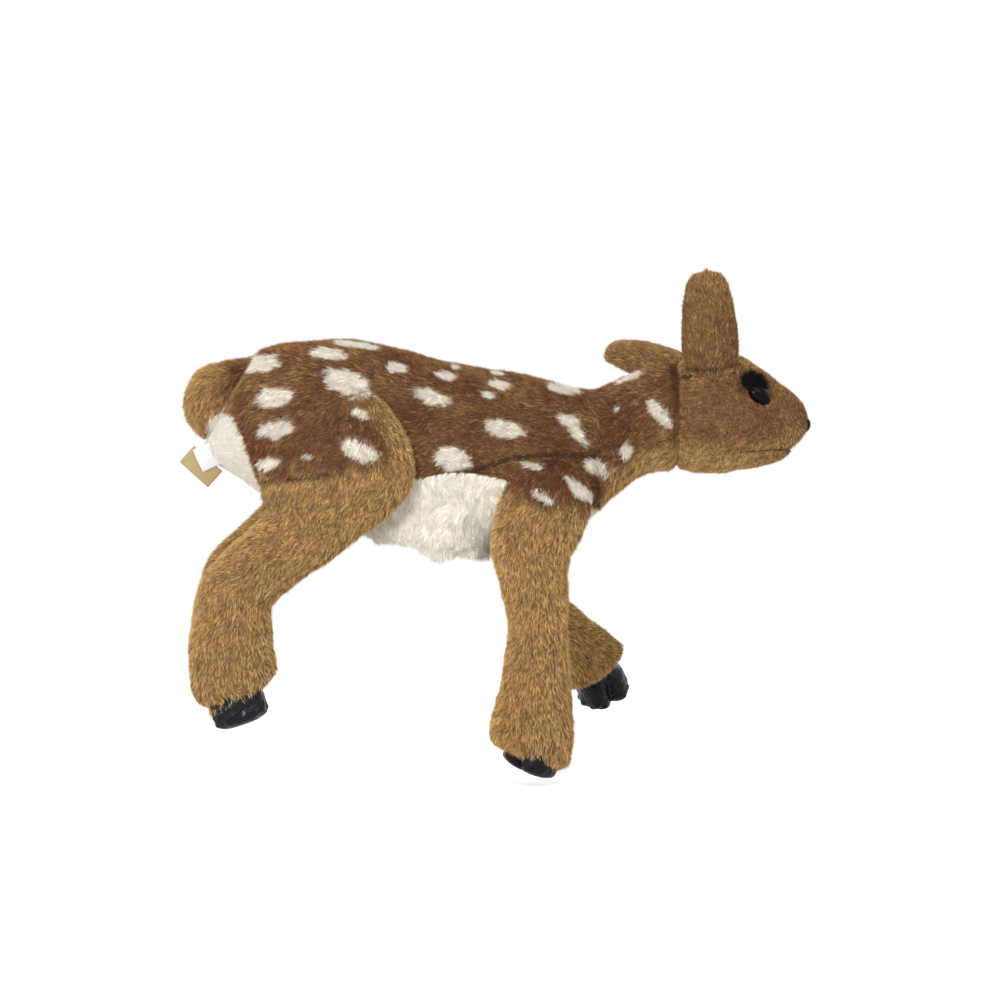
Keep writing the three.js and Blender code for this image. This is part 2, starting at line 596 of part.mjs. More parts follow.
eyes.forEach((eye) => {
  const name = eye.side < 0 ? 'right' : 'left';
  const dome = ellipsoid(EYE.round, EYE.round, EYE.bulge, 18);
  const seated = cut(solid(facing(dome, eye.here, eye.facing)), besideSkin);
  const stem = solid(facing(stemRod(0, EYE.stemLong).translate(0, 0, 1.5), eye.here, eye.facing));
  puppet.add(piece(`eye_${name}`, joined([seated, stem]), plastic));
  const ring = cut(solid(washerDisc(0)), solid(stemRod(SEAM, 40).translate(0, 0, 10)));
  const washer = piece(`eye_washer_${name}`, ring, washerPlastic);
  washer.quaternion.setFromUnitVectors(new THREE.Vector3(0, 0, 1), eye.facing);
  washer.position.copy(eye.here);
  puppet.add(washer);
  const lid = onSkin(LID.x, LID.z, eye.side);
  const pad = facing(ellipsoid(LID.long, LID.tall, LID.bulge, 14), lid.here, lid.facing);
  const eyeRoom = solid(facing(ellipsoid(EYE.round + SEAM, EYE.round + SEAM, EYE.bulge + SEAM, 18), eye.here, eye.facing));
  puppet.add(piece(`eyelid_${name}`, cut(solid(pad), besideSkin, eyeRoom), felt));
});
const nosePad = ellipsoid(NOSE.deep, NOSE.half, NOSE.tall, 14).translate(OUTLINE.at(-1).x - 1, 0, NOSE.z);
puppet.add(piece('nose', cut(solid(nosePad), besideSkin), felt));

// Jaw: a scoop under the mouth line with its plate
const jawZone = solid(mouthBlock(-SEAM / 2));
const jawInside = solid(outlineSurface(headStations, 9, JAW_WALL, 14));
puppet.add(piece('jaw_cover', cut(skin.intersect(jawZone), jawInside), tan));
const floorPlate = solid(outlineSurface(headStations, 9, JAW_WALL + SEAM, 14));
const plateTop = mouthSlab(-2 * SEAM - MOUTH_PLATE, -2 * SEAM);
puppet.add(piece('mouth_floor', floorPlate.intersect(plateTop), felt));

// Ears: a cupped leaf with its lining, cut where the head would touch it at any angle of its flop
function earSurface(near, far, inset = 0) {
  const rows = 7;
  const columns = 4;
  const at = between(EAR_LEAF, 's');
  const sheet = (depth) =>
    Array.from({ length: (rows + 1) * (columns + 1) }, (_, k) => {
      const share = Math.floor(k / (columns + 1)) / rows;
      const { half } = at(share);
      const v = (1 - inset / half) * ((2 * (k % (columns + 1))) / columns - 1);
      const bend = EAR.cup * ((1 - 0.5 * share) * (1 - v * v) - (1 - share) ** 2) * (half / EAR_LEAF[1].half);
      return new THREE.Vector3(half * v, depth + bend, inset + share * (EAR.long - 2 * inset));
    });
  return slabSurface(sheet(near), sheet(far), rows, columns);
}

// Two sheets of points, one over the other, closed along their edges
function slabSurface(under, over, rows, columns) {
  const across = columns + 1;
  const lift = under.length;
  const faces = [];
  for (let i = 0; i < rows; i += 1) {
    for (let j = 0; j < columns; j += 1) {
      const a = i * across + j;
      const d = a + across;
      faces.push(a, a + 1, d + 1, a, d + 1, d);
      faces.push(lift + a, lift + d + 1, lift + a + 1, lift + a, lift + d, lift + d + 1);
    }
  }
  const edge = [];
  for (let j = 0; j < columns; j += 1) edge.push(j);
  for (let i = 0; i < rows; i += 1) edge.push(i * across + columns);
  for (let j = columns; j > 0; j -= 1) edge.push(rows * across + j);
  for (let i = rows; i > 0; i -= 1) edge.push(i * across);
  edge.forEach((here, k) => {
    const next = edge[(k + 1) % edge.length];
    faces.push(here, lift + here, lift + next, here, lift + next, next);
  });
  return new THREE.BufferGeometry().setFromPoints([...under, ...over]).setIndex(faces);
}

function ear(name, place, side, flopAxis) {
  const root = onSkin(place.x, place.z, side).here;
  const lean = new THREE.Vector3(...place.lean).normalize();
  const across = new THREE.Vector3(...place.across);
  across.addScaledVector(lean, -across.dot(lean)).normalize();
  const back = lean.clone().cross(across);
  const frame = new THREE.Matrix4().makeBasis(across, back, lean).setPosition(root);
  const leaf = solid(earSurface(-EAR.thick / 2, EAR.thick / 2).applyMatrix4(frame));
  const near = -EAR.thick / 2 - SEAM;
  const beside = solid(earSurface(near, EAR.thick / 2).applyMatrix4(frame));
  const inner = solid(earSurface(near - EAR.lining, 0, EAR.hem).applyMatrix4(frame));
  const headCopy = outlineSurface(headStations, 10, -PLAY);
  const axis = across.clone().multiplyScalar(flopAxis);
  const neckCopy = outlineSurface(neckStations, 6, -PLAY);
  const turns = [-1, -0.5, 0, 0.5, 1].map((share) => turned(neckCopy, NAPE, UP, share * NAPE.turns));
  const sweep = joined([headCopy, ...turns].map((copy) => swept(copy, root, axis, 0, -place.flops, 3)));
  puppet.add(piece(`ear_${name}`, cut(leaf, sweep), tan));
  puppet.add(piece(`ear_lining_${name}`, cut(inner, beside, sweep), white));
}
ear('right', EAR_RIGHT, -1, -1);
ear('left', EAR_LEFT, 1, 1);

// Tail: a tan upper half over a white lower half
const tailStops = TAIL.map((stop) => ({ ...stop, x: TAIL_ROOT.x + stop.x, z: TAIL_ROOT.z + stop.z }));
const tailRun = between(tailStops.map((stop, i) => ({ ...stop, i })), 'i');
const tailPath = Array.from({ length: 10 }, (_, i) => tailRun((i / 9) * (TAIL.length - 1)));
const bodySweep = swept(outlineSurface(OUTLINE, SLICES, -PLAY), TAIL_ROOT, DOWN, 0, -TAIL_ROOT.lift, 5);
const tailWhole = cut(solid(limbSurface(tailPath)), bodySweep);
const innerPath = tailPath.map((stop, i) => {
  const before = tailPath[Math.max(i - 1, 0)];
  const after = tailPath[Math.min(i + 1, tailPath.length - 1)];
  const along = new THREE.Vector3(after.x - before.x, 0, after.z - before.z).normalize();
  const side = new THREE.Vector3(0, 1, 0).cross(along);
  const shift = stop.wide + TAIL_SEAM_DEPTH;
  return { x: stop.x - side.x * shift, z: stop.z - side.z * shift, wide: stop.wide, thick: stop.thick * 1.5 };
});
const underZone = solid(limbSurface(innerPath));
const underRoom = solid(limbSurface(innerPath.map((s) => ({ ...s, wide: s.wide + SEAM, thick: s.thick + SEAM }))));
puppet.add(piece('tail_top', cut(tailWhole, underRoom), tan));
puppet.add(piece('tail_under', tailWhole.intersect(underZone), white));

// Blank labels in the rump seam
function label(name, size, material) {
  const tape = box(-size.wide / 2, size.wide / 2, -LABEL_THICK / 2, LABEL_THICK / 2, -size.long / 2, size.long / 2);
  tape.rotateY(THREE.MathUtils.degToRad(-size.turn)).translate(size.x, size.y, size.z);
  puppet.add(piece(name, cut(solid(tape), besideSkin), material));
}
label('gold_label', GOLD_LABEL, goldTape);
label('care_label', CARE_LABEL, white);

export default puppet;
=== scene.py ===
"""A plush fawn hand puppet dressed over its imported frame: pile fabric, vinyl hooves and plastic eyes.

Lengths in this file are millimetres, as cut and sewn, and become metres when a mesh is put down.
+X is towards the nose, +Z is up, and the right side is -Y. A skin is a surface of two parameters u and v,
and its pile is a crop of slim tapered fibres rooted on that same surface.
"""

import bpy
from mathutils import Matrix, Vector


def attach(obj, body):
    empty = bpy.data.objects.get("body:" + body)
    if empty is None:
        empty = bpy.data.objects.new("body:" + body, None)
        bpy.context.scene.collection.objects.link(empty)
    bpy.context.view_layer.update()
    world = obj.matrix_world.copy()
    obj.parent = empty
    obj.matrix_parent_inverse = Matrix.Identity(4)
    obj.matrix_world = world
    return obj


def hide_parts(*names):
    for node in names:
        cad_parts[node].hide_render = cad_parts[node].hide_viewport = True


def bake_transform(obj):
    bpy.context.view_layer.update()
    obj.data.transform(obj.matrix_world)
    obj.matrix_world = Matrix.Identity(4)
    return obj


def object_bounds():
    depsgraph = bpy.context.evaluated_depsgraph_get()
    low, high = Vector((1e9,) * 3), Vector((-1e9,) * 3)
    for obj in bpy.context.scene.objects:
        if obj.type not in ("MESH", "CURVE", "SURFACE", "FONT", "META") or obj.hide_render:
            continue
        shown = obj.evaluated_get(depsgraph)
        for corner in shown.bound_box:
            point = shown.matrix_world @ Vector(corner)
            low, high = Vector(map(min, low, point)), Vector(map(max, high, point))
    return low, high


bl_info = {
    "name": "Plush fawn hand puppet",
    "version": (1, 0, 0),
    "blender": (4, 5, 0),
    "location": "View3D > Sidebar > Puppet",
    "description": "Dresses a fawn hand puppet in pile fabric, with vinyl hooves and plastic eyes",
    "category": "Object",
}

import math

import bmesh
import bpy
import numpy as np

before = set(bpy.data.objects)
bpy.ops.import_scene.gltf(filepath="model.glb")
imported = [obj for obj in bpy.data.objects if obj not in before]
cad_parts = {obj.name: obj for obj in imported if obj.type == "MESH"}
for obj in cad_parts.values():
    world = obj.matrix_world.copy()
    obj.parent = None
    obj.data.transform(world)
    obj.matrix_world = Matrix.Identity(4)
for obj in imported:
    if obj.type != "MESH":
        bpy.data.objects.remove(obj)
CAD_BOX = [list(corner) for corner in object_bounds()]

METRES = 0.001
TURN = 2 * math.pi

# The outline from rump to nose: place along X, height of the back, of the underside and of the
# widest level, and half the width there
OUTLINE = [
    (-139, 62, 62, 62, 0),
    (-138, 66, 58, 62, 5),
    (-133, 74, 51, 62, 16),
    (-125, 88, 45, 65, 27),
    (-115, 108, 39, 69, 35),
    (-102, 123, 30, 72, 41),
    (-80, 127.5, 14, 72, 46),
    (-50, 128.5, 5, 67, 48),
    (-19, 122.5, 2, 60, 47),
    (11, 114.5, 1, 58, 46),
    (41, 109.5, 2, 58, 45),
    (72, 103.5, 6, 61, 43),
    (96, 98, 16, 65, 38),
    (110, 102, 29, 69, 33.5),
    (126, 110.5, 41, 75, 30),
    (139, 113.8, 45, 78, 29),
    (151, 115.8, 45.8, 79, 29.5),
    (163, 119.5, 43.8, 78, 32.5),
    (176, 121, 43.6, 77, 33),
    (188, 118, 46.4, 76, 31.5),
    (200, 111, 50.5, 75, 28),
    (212, 101.5, 54.5, 76, 23),
    (221, 94.5, 61, 77, 17.5),
    (226, 88, 67, 77, 12),
    (228, 82, 72, 77, 5),
    (229, 77, 77, 77, 0),
]
# The skin lies this far under the outline, which its pile reaches, and the cloth is so thick
SKIN_DEPTH = 2.8
CLOTH = 2.0
# Height of the padding's soft lumps
LUMP = 0.5

# Seams of the body. The rump seam leans back as it rises, and the chest lies between two shares of the trunk
REAR_X = -110
NECK_X = 119.5
RUMP_SEAM = {"x": REAR_X, "z": 62, "lean": 0.325}
BELLY_SEAM = [(-110, 40), (-40, 41), (-10, 41), (14, 45), (43, 41), (60, 34), (80, 26), (96, 22), (104, 20)]
CHEST_FROM = 0.684
CHEST_TO = 0.9216

# The hand opening: half its length and width, and its middle and half sizes as shares of trunk and belly
OPENING = {"long": 30, "wide": 26, "u": 0.4712, "du": 0.1327, "dv": 0.459}
# Its gathered cuff, with how uneven the gathers are, how they wave the lower edge and how square the cuff is
CUFF = {"thick": 5, "high": 12, "gathers": 9, "depth": 1.2, "uneven": 1.3, "wave": 0.6, "square": 0.7}
# Height of its lower edge along X: high behind, lowest in the middle and almost as low in front
CUFF_EDGE = [
    (-36, 5), (-20, 4.5), (-12, 2), (-5, -2), (2, -6), (8, -5.5), (14, -4.2), (24, -4.8), (36, -5.2),
]

# The belly: how far its middle is drawn up, how far it rolls out and down beside the cuff and how much
# further in front, its fold there with place and length, and its lumps
BELLY = {
    "drawn_up": 2.6, "out": 8, "down": 8, "down_in_front": 5,
    "fold": 2, "fold_x": 16, "fold_long": 15, "lumps": 1.1,
}
# The bag for the hand: its floor and height, what it gains in length and width, how far its middle lies
# ahead, the lift of its edge at the sides and the share of its height at which it begins to close
BAG = {"floor": 4, "high": 96, "longer": 16, "wider": 7, "ahead": 10, "lift": 9, "closes": 0.72}

# Neck: where the head begins, how much of the sleeve shows, how far it is drawn in and the ball at its end
NAPE = {"x": 151, "z": 80, "shown": 0.62, "drawn_in": 3.2, "ball": 20}
# Head: where its rolled rim ends in front of the nape, the rim's length and depth, how the points crowd
# towards the nose, and the dip at each eye
HEAD = {"ahead": 2.5, "rim": 3.5, "sunk": 5, "crowd": 1.15, "dip": 1.6, "dip_long": 9, "dip_tall": 8}
# Jaw: its hinge, the mouth line's slope ahead of it and behind, its ends and their rounding, the fuller
# chin, and how far under the mouth line the ends close
JAW = {
    "x": 168, "z": 56.8, "slope": math.tan(math.radians(3.4)), "slope_behind": 2.2,
    "rear": 152, "round": 8, "front": 219, "round_front": 6,
    "chin": 3, "chin_from": 182, "chin_to": 203, "middle": 1.5,
}
# The mouth line divides the skins of head and jaw by this much on each side
LIP_GAP = 0.05
# Felt plates of the mouth: middle, half length, distance from the skin, least half width and thickness
PLATE = {"x": 192, "half": 20, "inside": 3.2, "least": 2, "thick": 0.7}

# Joints of the limbs
SHOULDER = (68, 33.5, 26)
HIP = (-57, 48, 52.5)
TAIL_ROOT = (-117, 0, 112)

# Half width and half thickness of the legs along their length
FRONT_LEG = [
    (0, 29, 20), (16, 28, 20), (28, 26, 19.5), (50, 21.5, 18), (76, 20, 17.5),
    (100, 21.7, 18.5), (120, 24.8, 19.5), (135, 26.9, 20.5), (147, 26.4, 19.5),
]
HIND_LEG = [
    (0, 42, 17), (20, 41, 18), (34, 34.5, 18.5), (46, 27.5, 19), (60, 23.5, 19.5), (80, 23, 20),
    (104, 24, 20), (123, 26, 20.5), (141, 28, 20.5), (152, 27, 20), (160, 22.5, 18.5),
]
# Where the thigh and the knee bend, each with half the length of the bend
FRONT_BENDS = (26, 12, 64, 24)
HIND_BENDS = (44, 14, 98, 17)
TOE_BEND = 16
# The bulge at the front of the haunch: its height, how far it stands ahead and how soon it dies away
HAUNCH_BULGE = {"z": 35, "ahead": 10, "above": 28, "below": 18, "from": 32}
# How the haunch sinks against the body: depth, what height adds, the most, and the heights it grows between
HAUNCH_SINK = {"deep": 14, "above": 0.8, "most": 1.1, "from": 12, "to": 48}
# The blunt end of a leg's plush: its length
LEG_END = 9
# Steps of a leg's course, and how far the leg reaches over its joint
PATH_STEPS = 11
FRONT_PAD = 30
HIND_PAD = 45

# How each leg lies: degrees of its upper part, thigh, lower part and toe from straight down, and its splay
LIE = {
    "front_leg_right": (-18, 6, -2, -8.7, 0),
    "front_leg_left": (-14, -2, 43, 38, 27),
    "hind_leg_right": (-23, -48.5, -3, 20, 0),
    "hind_leg_left": (-38, -49, -4, 10, 0),
}
# How each foot ends: how far its plush reaches past the leg's end, how much further at the heel than in the
# middle, how far the hoof is drawn into the leg and set forward, and its turn on the leg and its tilt
# in degrees
FEET = {
    "front_leg_right": (7, -4, 3.5, 3, -60, -16),
    "front_leg_left": (-15, -3, 10, -3.5, -100, -18),
    "hind_leg_right": (7, 6, 0.5, -2.5, 0, 2),
    "hind_leg_left": (6, 4, 0, 0, 0, 8),
}
# The hoof: half sizes, length, what is hidden in the leg, the cleft in front and the one behind with their
# half width in radians, the narrowing at the root, the flare, the rounded sole and the wrinkles
HOOF = {
    "wide": 17, "thick": 15.5, "long": 17, "root": 9, "cleft": 0.5, "heel": 0.2, "cleft_wide": 0.3,
    "narrow": 0.72, "flare": 1.06, "sole": 6, "sole_from": 0.7, "wrinkle": 0.8,
}

# The tail in steps from its root: along X, along Z, half width seen from the side and half thickness
TAIL = [
    (0, 24, 3, 7, 9), (1, 9, -2, 8.5, 16), (2, -5, -9, 14, 21), (3, -13.5, -17, 19.5, 22),
    (4, -18, -26, 18.5, 21), (5, -20, -34, 15, 17), (6, -21, -40, 9, 11),
]
# The tail's tip: where it begins to close, as a share of the length, and its reach past the last place
TAIL_TIP = {"from": 0.85, "past": 4}

# Ears: a cupped leaf on its root, and its lining, which is narrower and lies a little off it
EAR = {"long": 61, "cup": 10, "thick": 4.6, "lining": 1.8, "narrower": 2.2, "off": 0.2}
EAR_LEAF = [(-0.1, 12), (0, 15), (0.25, 17), (0.6, 15.5), (0.85, 12.5), (0.95, 9), (1, 0)]
EARS = {
    "right": {"x": 169, "z": 106, "side": -1, "lean": (-0.09, -0.2, 0.97), "across": (-1, 0, -0.09)},
    "left": {"x": 155, "z": 112, "side": 1, "lean": (-0.74, 0.68, 0.2), "across": (-0.35, -0.75, -0.55)},
}

# Face
EYE = {"x": 196.8, "z": 92.4, "long": 7.8, "tall": 5.3, "bulge": 4.4, "tilt": -42}
LID = {"x": 193.4, "z": 99.2, "long": 6.8, "tall": 5.4, "bulge": 2.6, "tilt": -15}
NOSE = {"x": 226.8, "z": 75.2, "deep": 2.6, "half": 6, "tall": 4}
# Length of the pile on the eye patches and on the nose
LASH_PILE = 5.0
NOSE_PILE = 2.2

# Blank labels sewn into the rump seam: place, length, width and turn
LABELS = {
    "gold_label": {"at": (-139.6, -9, 49.5), "long": 23, "wide": 13, "turn": 48, "slot": "gold_tape"},
    "care_label": {"at": (-135.5, -11, 55.5), "long": 15, "wide": 13, "turn": 25, "slot": "white_tape"},
}
LABEL_THICK = 0.7
LABEL_BOW = 1.2

# Pale spots seen from the side: place along X and Z, length, height and tilt
SIDE_SPOTS = [
    (-102.5, 111.8, 27.5, 11.2, 0), (-60.2, 116.6, 21.5, 7.7, -5), (-18.9, 108.2, 11.8, 7.2, -10),
    (-48.8, 98.9, 29.5, 15.4, -20), (-91.5, 90.3, 21.6, 12.0, 8), (-89.5, 71.7, 22.6, 10.2, 10),
    (-95.6, 51.3, 14.0, 7.6, 8), (-70.2, 55.2, 9.0, 3.0, 0), (-40.7, 80.8, 10.0, 5.8, -25),
    (-41.0, 58.6, 23.0, 11.8, -28), (10.1, 103.0, 13.0, 6.2, -10), (16.0, 108.9, 5.3, 3.5, 0),
    (0.8, 90.6, 21.0, 8.4, -14), (42.6, 97.7, 13.0, 6.4, -15), (35.2, 91.6, 9.6, 4.6, -15),
    (81.6, 95.4, 20.4, 7.0, -10), (44.4, 71.7, 23.6, 10.8, -8), (82.6, 76.4, 14.0, 7.0, -15),
    (88.0, 68.6, 17.6, 6.0, -52), (13.4, 54.0, 23.2, 12.6, -14), (61.8, 49.5, 13.0, 4.4, -15),
    (99.8, 47.9, 17.0, 8.0, -28), (88.4, 35.6, 23.5, 7.4, -38), (67.2, 31.6, 16.0, 5.0, -30),
    (137.6, 81.2, 24.5, 7.4, -50), (117.6, 59.2, 8.9, 11.0, 0), (111.7, 84.0, 4.1, 3.0, -30),
]
# Pale spots along the spine, above a height: place along X and Y, length and width
SPINE_SPOTS = [(-43.5, -12, 29, 12), (41, -10, 10, 7), (121, -8, 18, 9), (-6, 9, 12, 7), (78, 9, 14, 6)]
SPINE_Z = 80
# How pale a spot is, and where it fades, as shares of its size
SPOT_SHARE = 0.82
SPOT_FADE = (0.84, 1.1)

# Seams whose crease shade is painted as dark lines: places along X and Z, width, and how dark they are
HAUNCH_SEAM_SHADE = {"at": [(-100, 40.3), (-75.6, 42), (-49.3, 46.7)], "wide": 1.3, "dark": 0.8}
SHOULDER_SEAM_SHADE = {"at": [(20, 43), (41.4, 51.6), (68, 55.7), (102, 54.6)], "wide": 1.6, "dark": 0.8}
EAR_SEAM_SHADE = {"at": [(151, 103), (166, 104), (184, 105.5)], "wide": 1.3, "dark": 0.9}
# Painted shade of the seam round an ear's root: its height on the ear, width and darkness
EAR_ROOT_SHADE = {"up": 1, "wide": 1.3, "dark": 0.7}

# Below this line the neck and breast are tan
NECK_TAN = [(60, -40), (88, 8), (96, 20), (102, 29), (111, 47), (127, 60), (151, 66)]
NECK_FADE = 7
# The brown share along the back: its mean and how it varies
BACK_BROWN = (0.88, 0.12)
# Along X from the tail to the back brown sets in, and up the rump white gives way to it
TAIL_FADE = (-134, -112)
RUMP_FADE = (79, 85)
# Painted shade on the rump's white pile, strongest where the pile is whitest
RUMP_PAINTED_SHADE = 0.7
# The shoulder's brown ends below at a line with a height at a place and a slope; its spots end lower
SHOULDER_EDGE = {"x": 41, "z": 35, "slope": 0.24, "spots": 20}
# The haunch's brown: its middle, where it fades to the front roll, and where it fades below
HAUNCH_BROWN = {
    "x": -57.4, "z": 52.4, "share": 0.9, "roll": (28, 39), "roll_x": (-60, -38),
    "below": (39, 49), "spots": 44,
}
# The head's brown: its share, how it varies, and how much is lost towards the lips, the chin and the crown
HEAD_BROWN = {
    "share": 0.62, "vary": 0.08, "lost": 0.42, "lips": (192, 222), "chin": (60, 70), "crown": (100, 116),
}
# The ear's brown: its share, and how much is lost towards the tip
EAR_BROWN = {"share": 0.6, "lost": 0.2, "tip": (30, 60)}
# The white of the tail: where it sets in towards the rump, below a height and between two sides
TAIL_WHITE = {"x": (-136, -131), "lean": 0.25, "level": 80, "below": 92, "half": 15}


def run(stations, at):
    """Smooth values along stations (place, value, value, ...).

    Between two stations lies a cubic Hermite piece; the slope at a station is the harmonic mean of the
    slopes on both sides, or level where they differ in sign, so nothing overshoots. One array a column.
    """
    table = np.asarray(stations, float)
    place, value = table[:, 0], table[:, 1:]
    gap = np.diff(place)
    slope = np.diff(value, axis=0) / gap[:, None]
    product = slope[:-1] * slope[1:]
    total = np.where(product > 0, slope[:-1] + slope[1:], 1)
    inner = np.where(product > 0, 2 * product / total, 0)
    lean = np.vstack([slope[:1], inner, slope[-1:]])
    at = np.clip(np.asarray(at, float), place[0], place[-1])
    i = np.clip(np.searchsorted(place, at, side="right") - 1, 0, len(gap) - 1)
    h = gap[i][..., None]
    t = ((at - place[i]) / gap[i])[..., None]
    found = (2 * t**3 - 3 * t**2 + 1) * value[i] + (3 * t**2 - 2 * t**3) * value[i + 1]
    found += ((t**3 - 2 * t**2 + t) * lean[i] + (t**3 - t**2) * lean[i + 1]) * h
    return np.moveaxis(found, -1, 0)


def smooth(low, high, value):
    """0 below low, 1 above high, and the cubic 3t^2 - 2t^3 in between."""
    t = np.clip((value - low) / (high - low), 0, 1)
    return t * t * (3 - 2 * t)


def unit(vectors):
    """Vectors of length 1."""
    return vectors / np.maximum(np.linalg.norm(vectors, axis=-1, keepdims=True), 1e-9)


def ripple(points, size, seed):
    """A soft random field of about -1 to 1: six sine waves of about one size in fixed directions."""
    rng = np.random.default_rng(seed)
    way = unit(rng.normal(size=(6, 3))) * rng.uniform(0.7, 1.4, (6, 1))
    phase = rng.uniform(0, TURN, 6)
    return np.sin(points @ way.T * (TURN / size) + phase).sum(-1) / 2.4


def stack(x, y, z):
    """Three arrays as one array of points."""
    return np.stack(np.broadcast_arrays(x, y, z), -1).astype(float)


def grid(rows, columns):
    """Parameters u and v from 0 to 1 on a grid."""
    return np.meshgrid(np.linspace(0, 1, rows), np.linspace(0, 1, columns), indexing="ij")


def quads(rows, columns):
    """Faces of a grid of points, row by row."""
    corner = np.arange(rows - 1)[:, None] * columns + np.arange(columns - 1)[None, :]
    return np.stack([corner, corner + 1, corner + columns + 1, corner + columns], -1).reshape(-1, 4)


def put(name, points, faces, material, shade_smooth=True):
    """A mesh object from points in millimetres and faces that all have as many corners."""
    mesh = bpy.data.meshes.new(name)
    mesh.vertices.add(len(points))
    mesh.vertices.foreach_set("co", (points * METRES).astype(np.float32).ravel())
    mesh.loops.add(faces.size)
    mesh.loops.foreach_set("vertex_index", faces.astype(np.int32).ravel())
    mesh.polygons.add(len(faces))
    mesh.polygons.foreach_set("loop_start", np.arange(0, faces.size, faces.shape[1], dtype=np.int32))
    mesh.polygons.foreach_set("use_smooth", np.full(len(faces), shade_smooth))
    mesh.update(calc_edges=True)
    mesh.materials.append(material)
    obj = bpy.data.objects.new(name, mesh)
    bpy.context.scene.collection.objects.link(obj)
    return obj


# Points closer than this, in metres, become one
WELD = 2e-6


def weld(obj):
    """Joins the points that lie on each other, which closes poles and seams, and turns faces outwards."""
    shape = bmesh.new()
    shape.from_mesh(obj.data)
    bmesh.ops.remove_doubles(shape, verts=shape.verts, dist=WELD)
    bmesh.ops.recalc_face_normals(shape, faces=shape.faces)
    shape.to_mesh(obj.data)
    shape.free()
    obj.data.update()
    return obj


def mesh_points(obj):
    """An object's points in millimetres."""
    found = np.empty(len(obj.data.vertices) * 3, np.float32)
    obj.data.vertices.foreach_get("co", found)
    return found.reshape(-1, 3).astype(float) / METRES


def write_coat(obj, coat, shade):
    """Stores what the pile's material reads: brown share, pale share, place along the fibre, and shade."""
    held = obj.data.attributes.new("coat", "FLOAT_VECTOR", "POINT")
    held.data.foreach_set("vector", coat.astype(np.float32).ravel())
    held = obj.data.attributes.new("shade", "FLOAT", "POINT")
    held.data.foreach_set("value", shade.astype(np.float32))


# Shade of a skin, and the place along a fibre whose colour it takes
SKIN_SHADE = 0.5
SKIN_ROOT = 0.1


def dye(obj, coat):
    """Colours a skin like the roots of its pile, with the coat's painted shade."""
    at = mesh_points(obj)
    brown, pale, dark = coat(at)
    write_coat(obj, np.stack([brown, pale, np.full(len(at), SKIN_ROOT)], -1), SKIN_SHADE - dark)
    return obj


def skin(name, surface, rows, columns, material, coat):
    """A closed skin: the surface on a grid whose ends and edges meet, with the coat at the roots."""
    u, v = grid(rows, columns)
    points = surface(u.ravel(), v.ravel())
    return dye(weld(put(name, points, quads(rows, columns), material)), coat)


def cloth(name, surface, rows, columns, material, coat, thick=CLOTH):
    """A cloth panel: the surface, the same surface a thickness deeper, and the rim between them."""
    u, v = grid(rows, columns)
    outer = surface(u.ravel(), v.ravel(), SKIN_DEPTH)
    inner = surface(u.ravel(), v.ravel(), SKIN_DEPTH + thick)
    count = len(outer)
    sheet = quads(rows, columns)
    number = np.arange(count).reshape(rows, columns)
    rims = []
    for edge in (number[0], number[-1], number[:, 0], number[:, -1]):
        rims.append(np.stack([edge[:-1], edge[1:], edge[1:] + count, edge[:-1] + count], -1))
    faces = np.vstack([sheet, sheet[:, ::-1] + count, *rims])
    obj = weld(put(name, np.vstack([outer, inner]), faces, material))
    drop_inner_walls(obj)
    return dye(obj, coat)


def drop_inner_walls(obj):
    """Where a panel closes on itself, the two rims there coincide after welding and are taken out."""
    shape = bmesh.new()
    shape.from_mesh(obj.data)
    inner = [e for e in shape.edges if len(e.link_faces) > 2]
    walls = {f for e in inner for f in e.link_faces if all(len(x.link_faces) > 2 for x in f.edges)}
    bmesh.ops.delete(shape, geom=list(walls), context="FACES_ONLY")
    bmesh.ops.recalc_face_normals(shape, faces=shape.faces)
    shape.to_mesh(obj.data)
    shape.free()


def normals(surface, u, v):
    """Points, directions along u and v, and outward normals of a surface, by central differences."""
    step = 1e-3
    at = surface(u, v)
    along = unit(surface(u + step, v) - surface(u - step, v))
    across = unit(surface(u, v + step) - surface(u, v - step))
    out = unit(np.cross(along, across))
    facing = np.sign(np.mean(np.sum(out * (at - at.mean(0)), -1)))
    return at, along, across, out * facing


def scatter(surface, density, most, rng, cells=64):
    """Random parameters spread evenly over a surface: so many to the square millimetre, up to a most."""
    u, v = grid(cells + 1, cells + 1)
    p = surface(u.ravel(), v.ravel()).reshape(cells + 1, cells + 1, 3)
    area = np.linalg.norm(np.cross(p[1:, 1:] - p[:-1, :-1], p[1:, :-1] - p[:-1, 1:]), axis=-1).ravel() / 2
    count = int(min(area.sum() * density, most))
    cell = rng.choice(cells * cells, count, p=area / area.sum())
    return (cell // cells + rng.random(count)) / cells, (cell % cells + rng.random(count)) / cells


MOST_FIBRES = 48000
# Length and width of the locks of long pile and of short pile, and the grid that measures a skin for them
STREAK = (4.5, 0.7)
TUFT = (1.9, 1.4)
LOCK_GRID = 25
# How a fibre's way swings, in radians, over a wide and a narrow field
SWING = 0.16
SWING_FIELDS = (24, 7)
# How its rise varies, in degrees, by chance and over a field, and its bounds
RISE = {"chance": 7, "field": 6, "size": 8, "bounds": (8, 80)}
# How its length varies by chance and by lock, and how much shorter it is where the coat paints shade
REACH = {"least": 0.75, "chance": 0.4, "lock": 0.1, "seam": 0.5}
# How its width varies, how deep it is rooted and how far its tip is drawn towards its lock
WIDTH = {"least": 0.7, "chance": 0.6}
ROOT_DEPTH = 0.4
DRAWN = 0.5
# How its shade varies over a field, by lock, and by chance to light and to dark; some locks are less brown
SHADE = {"middle": 0.4, "field": 0.05, "size": 6, "lock": 0.12, "light": 0.5, "dark": 0.22}
LESS_BROWN = 0.4


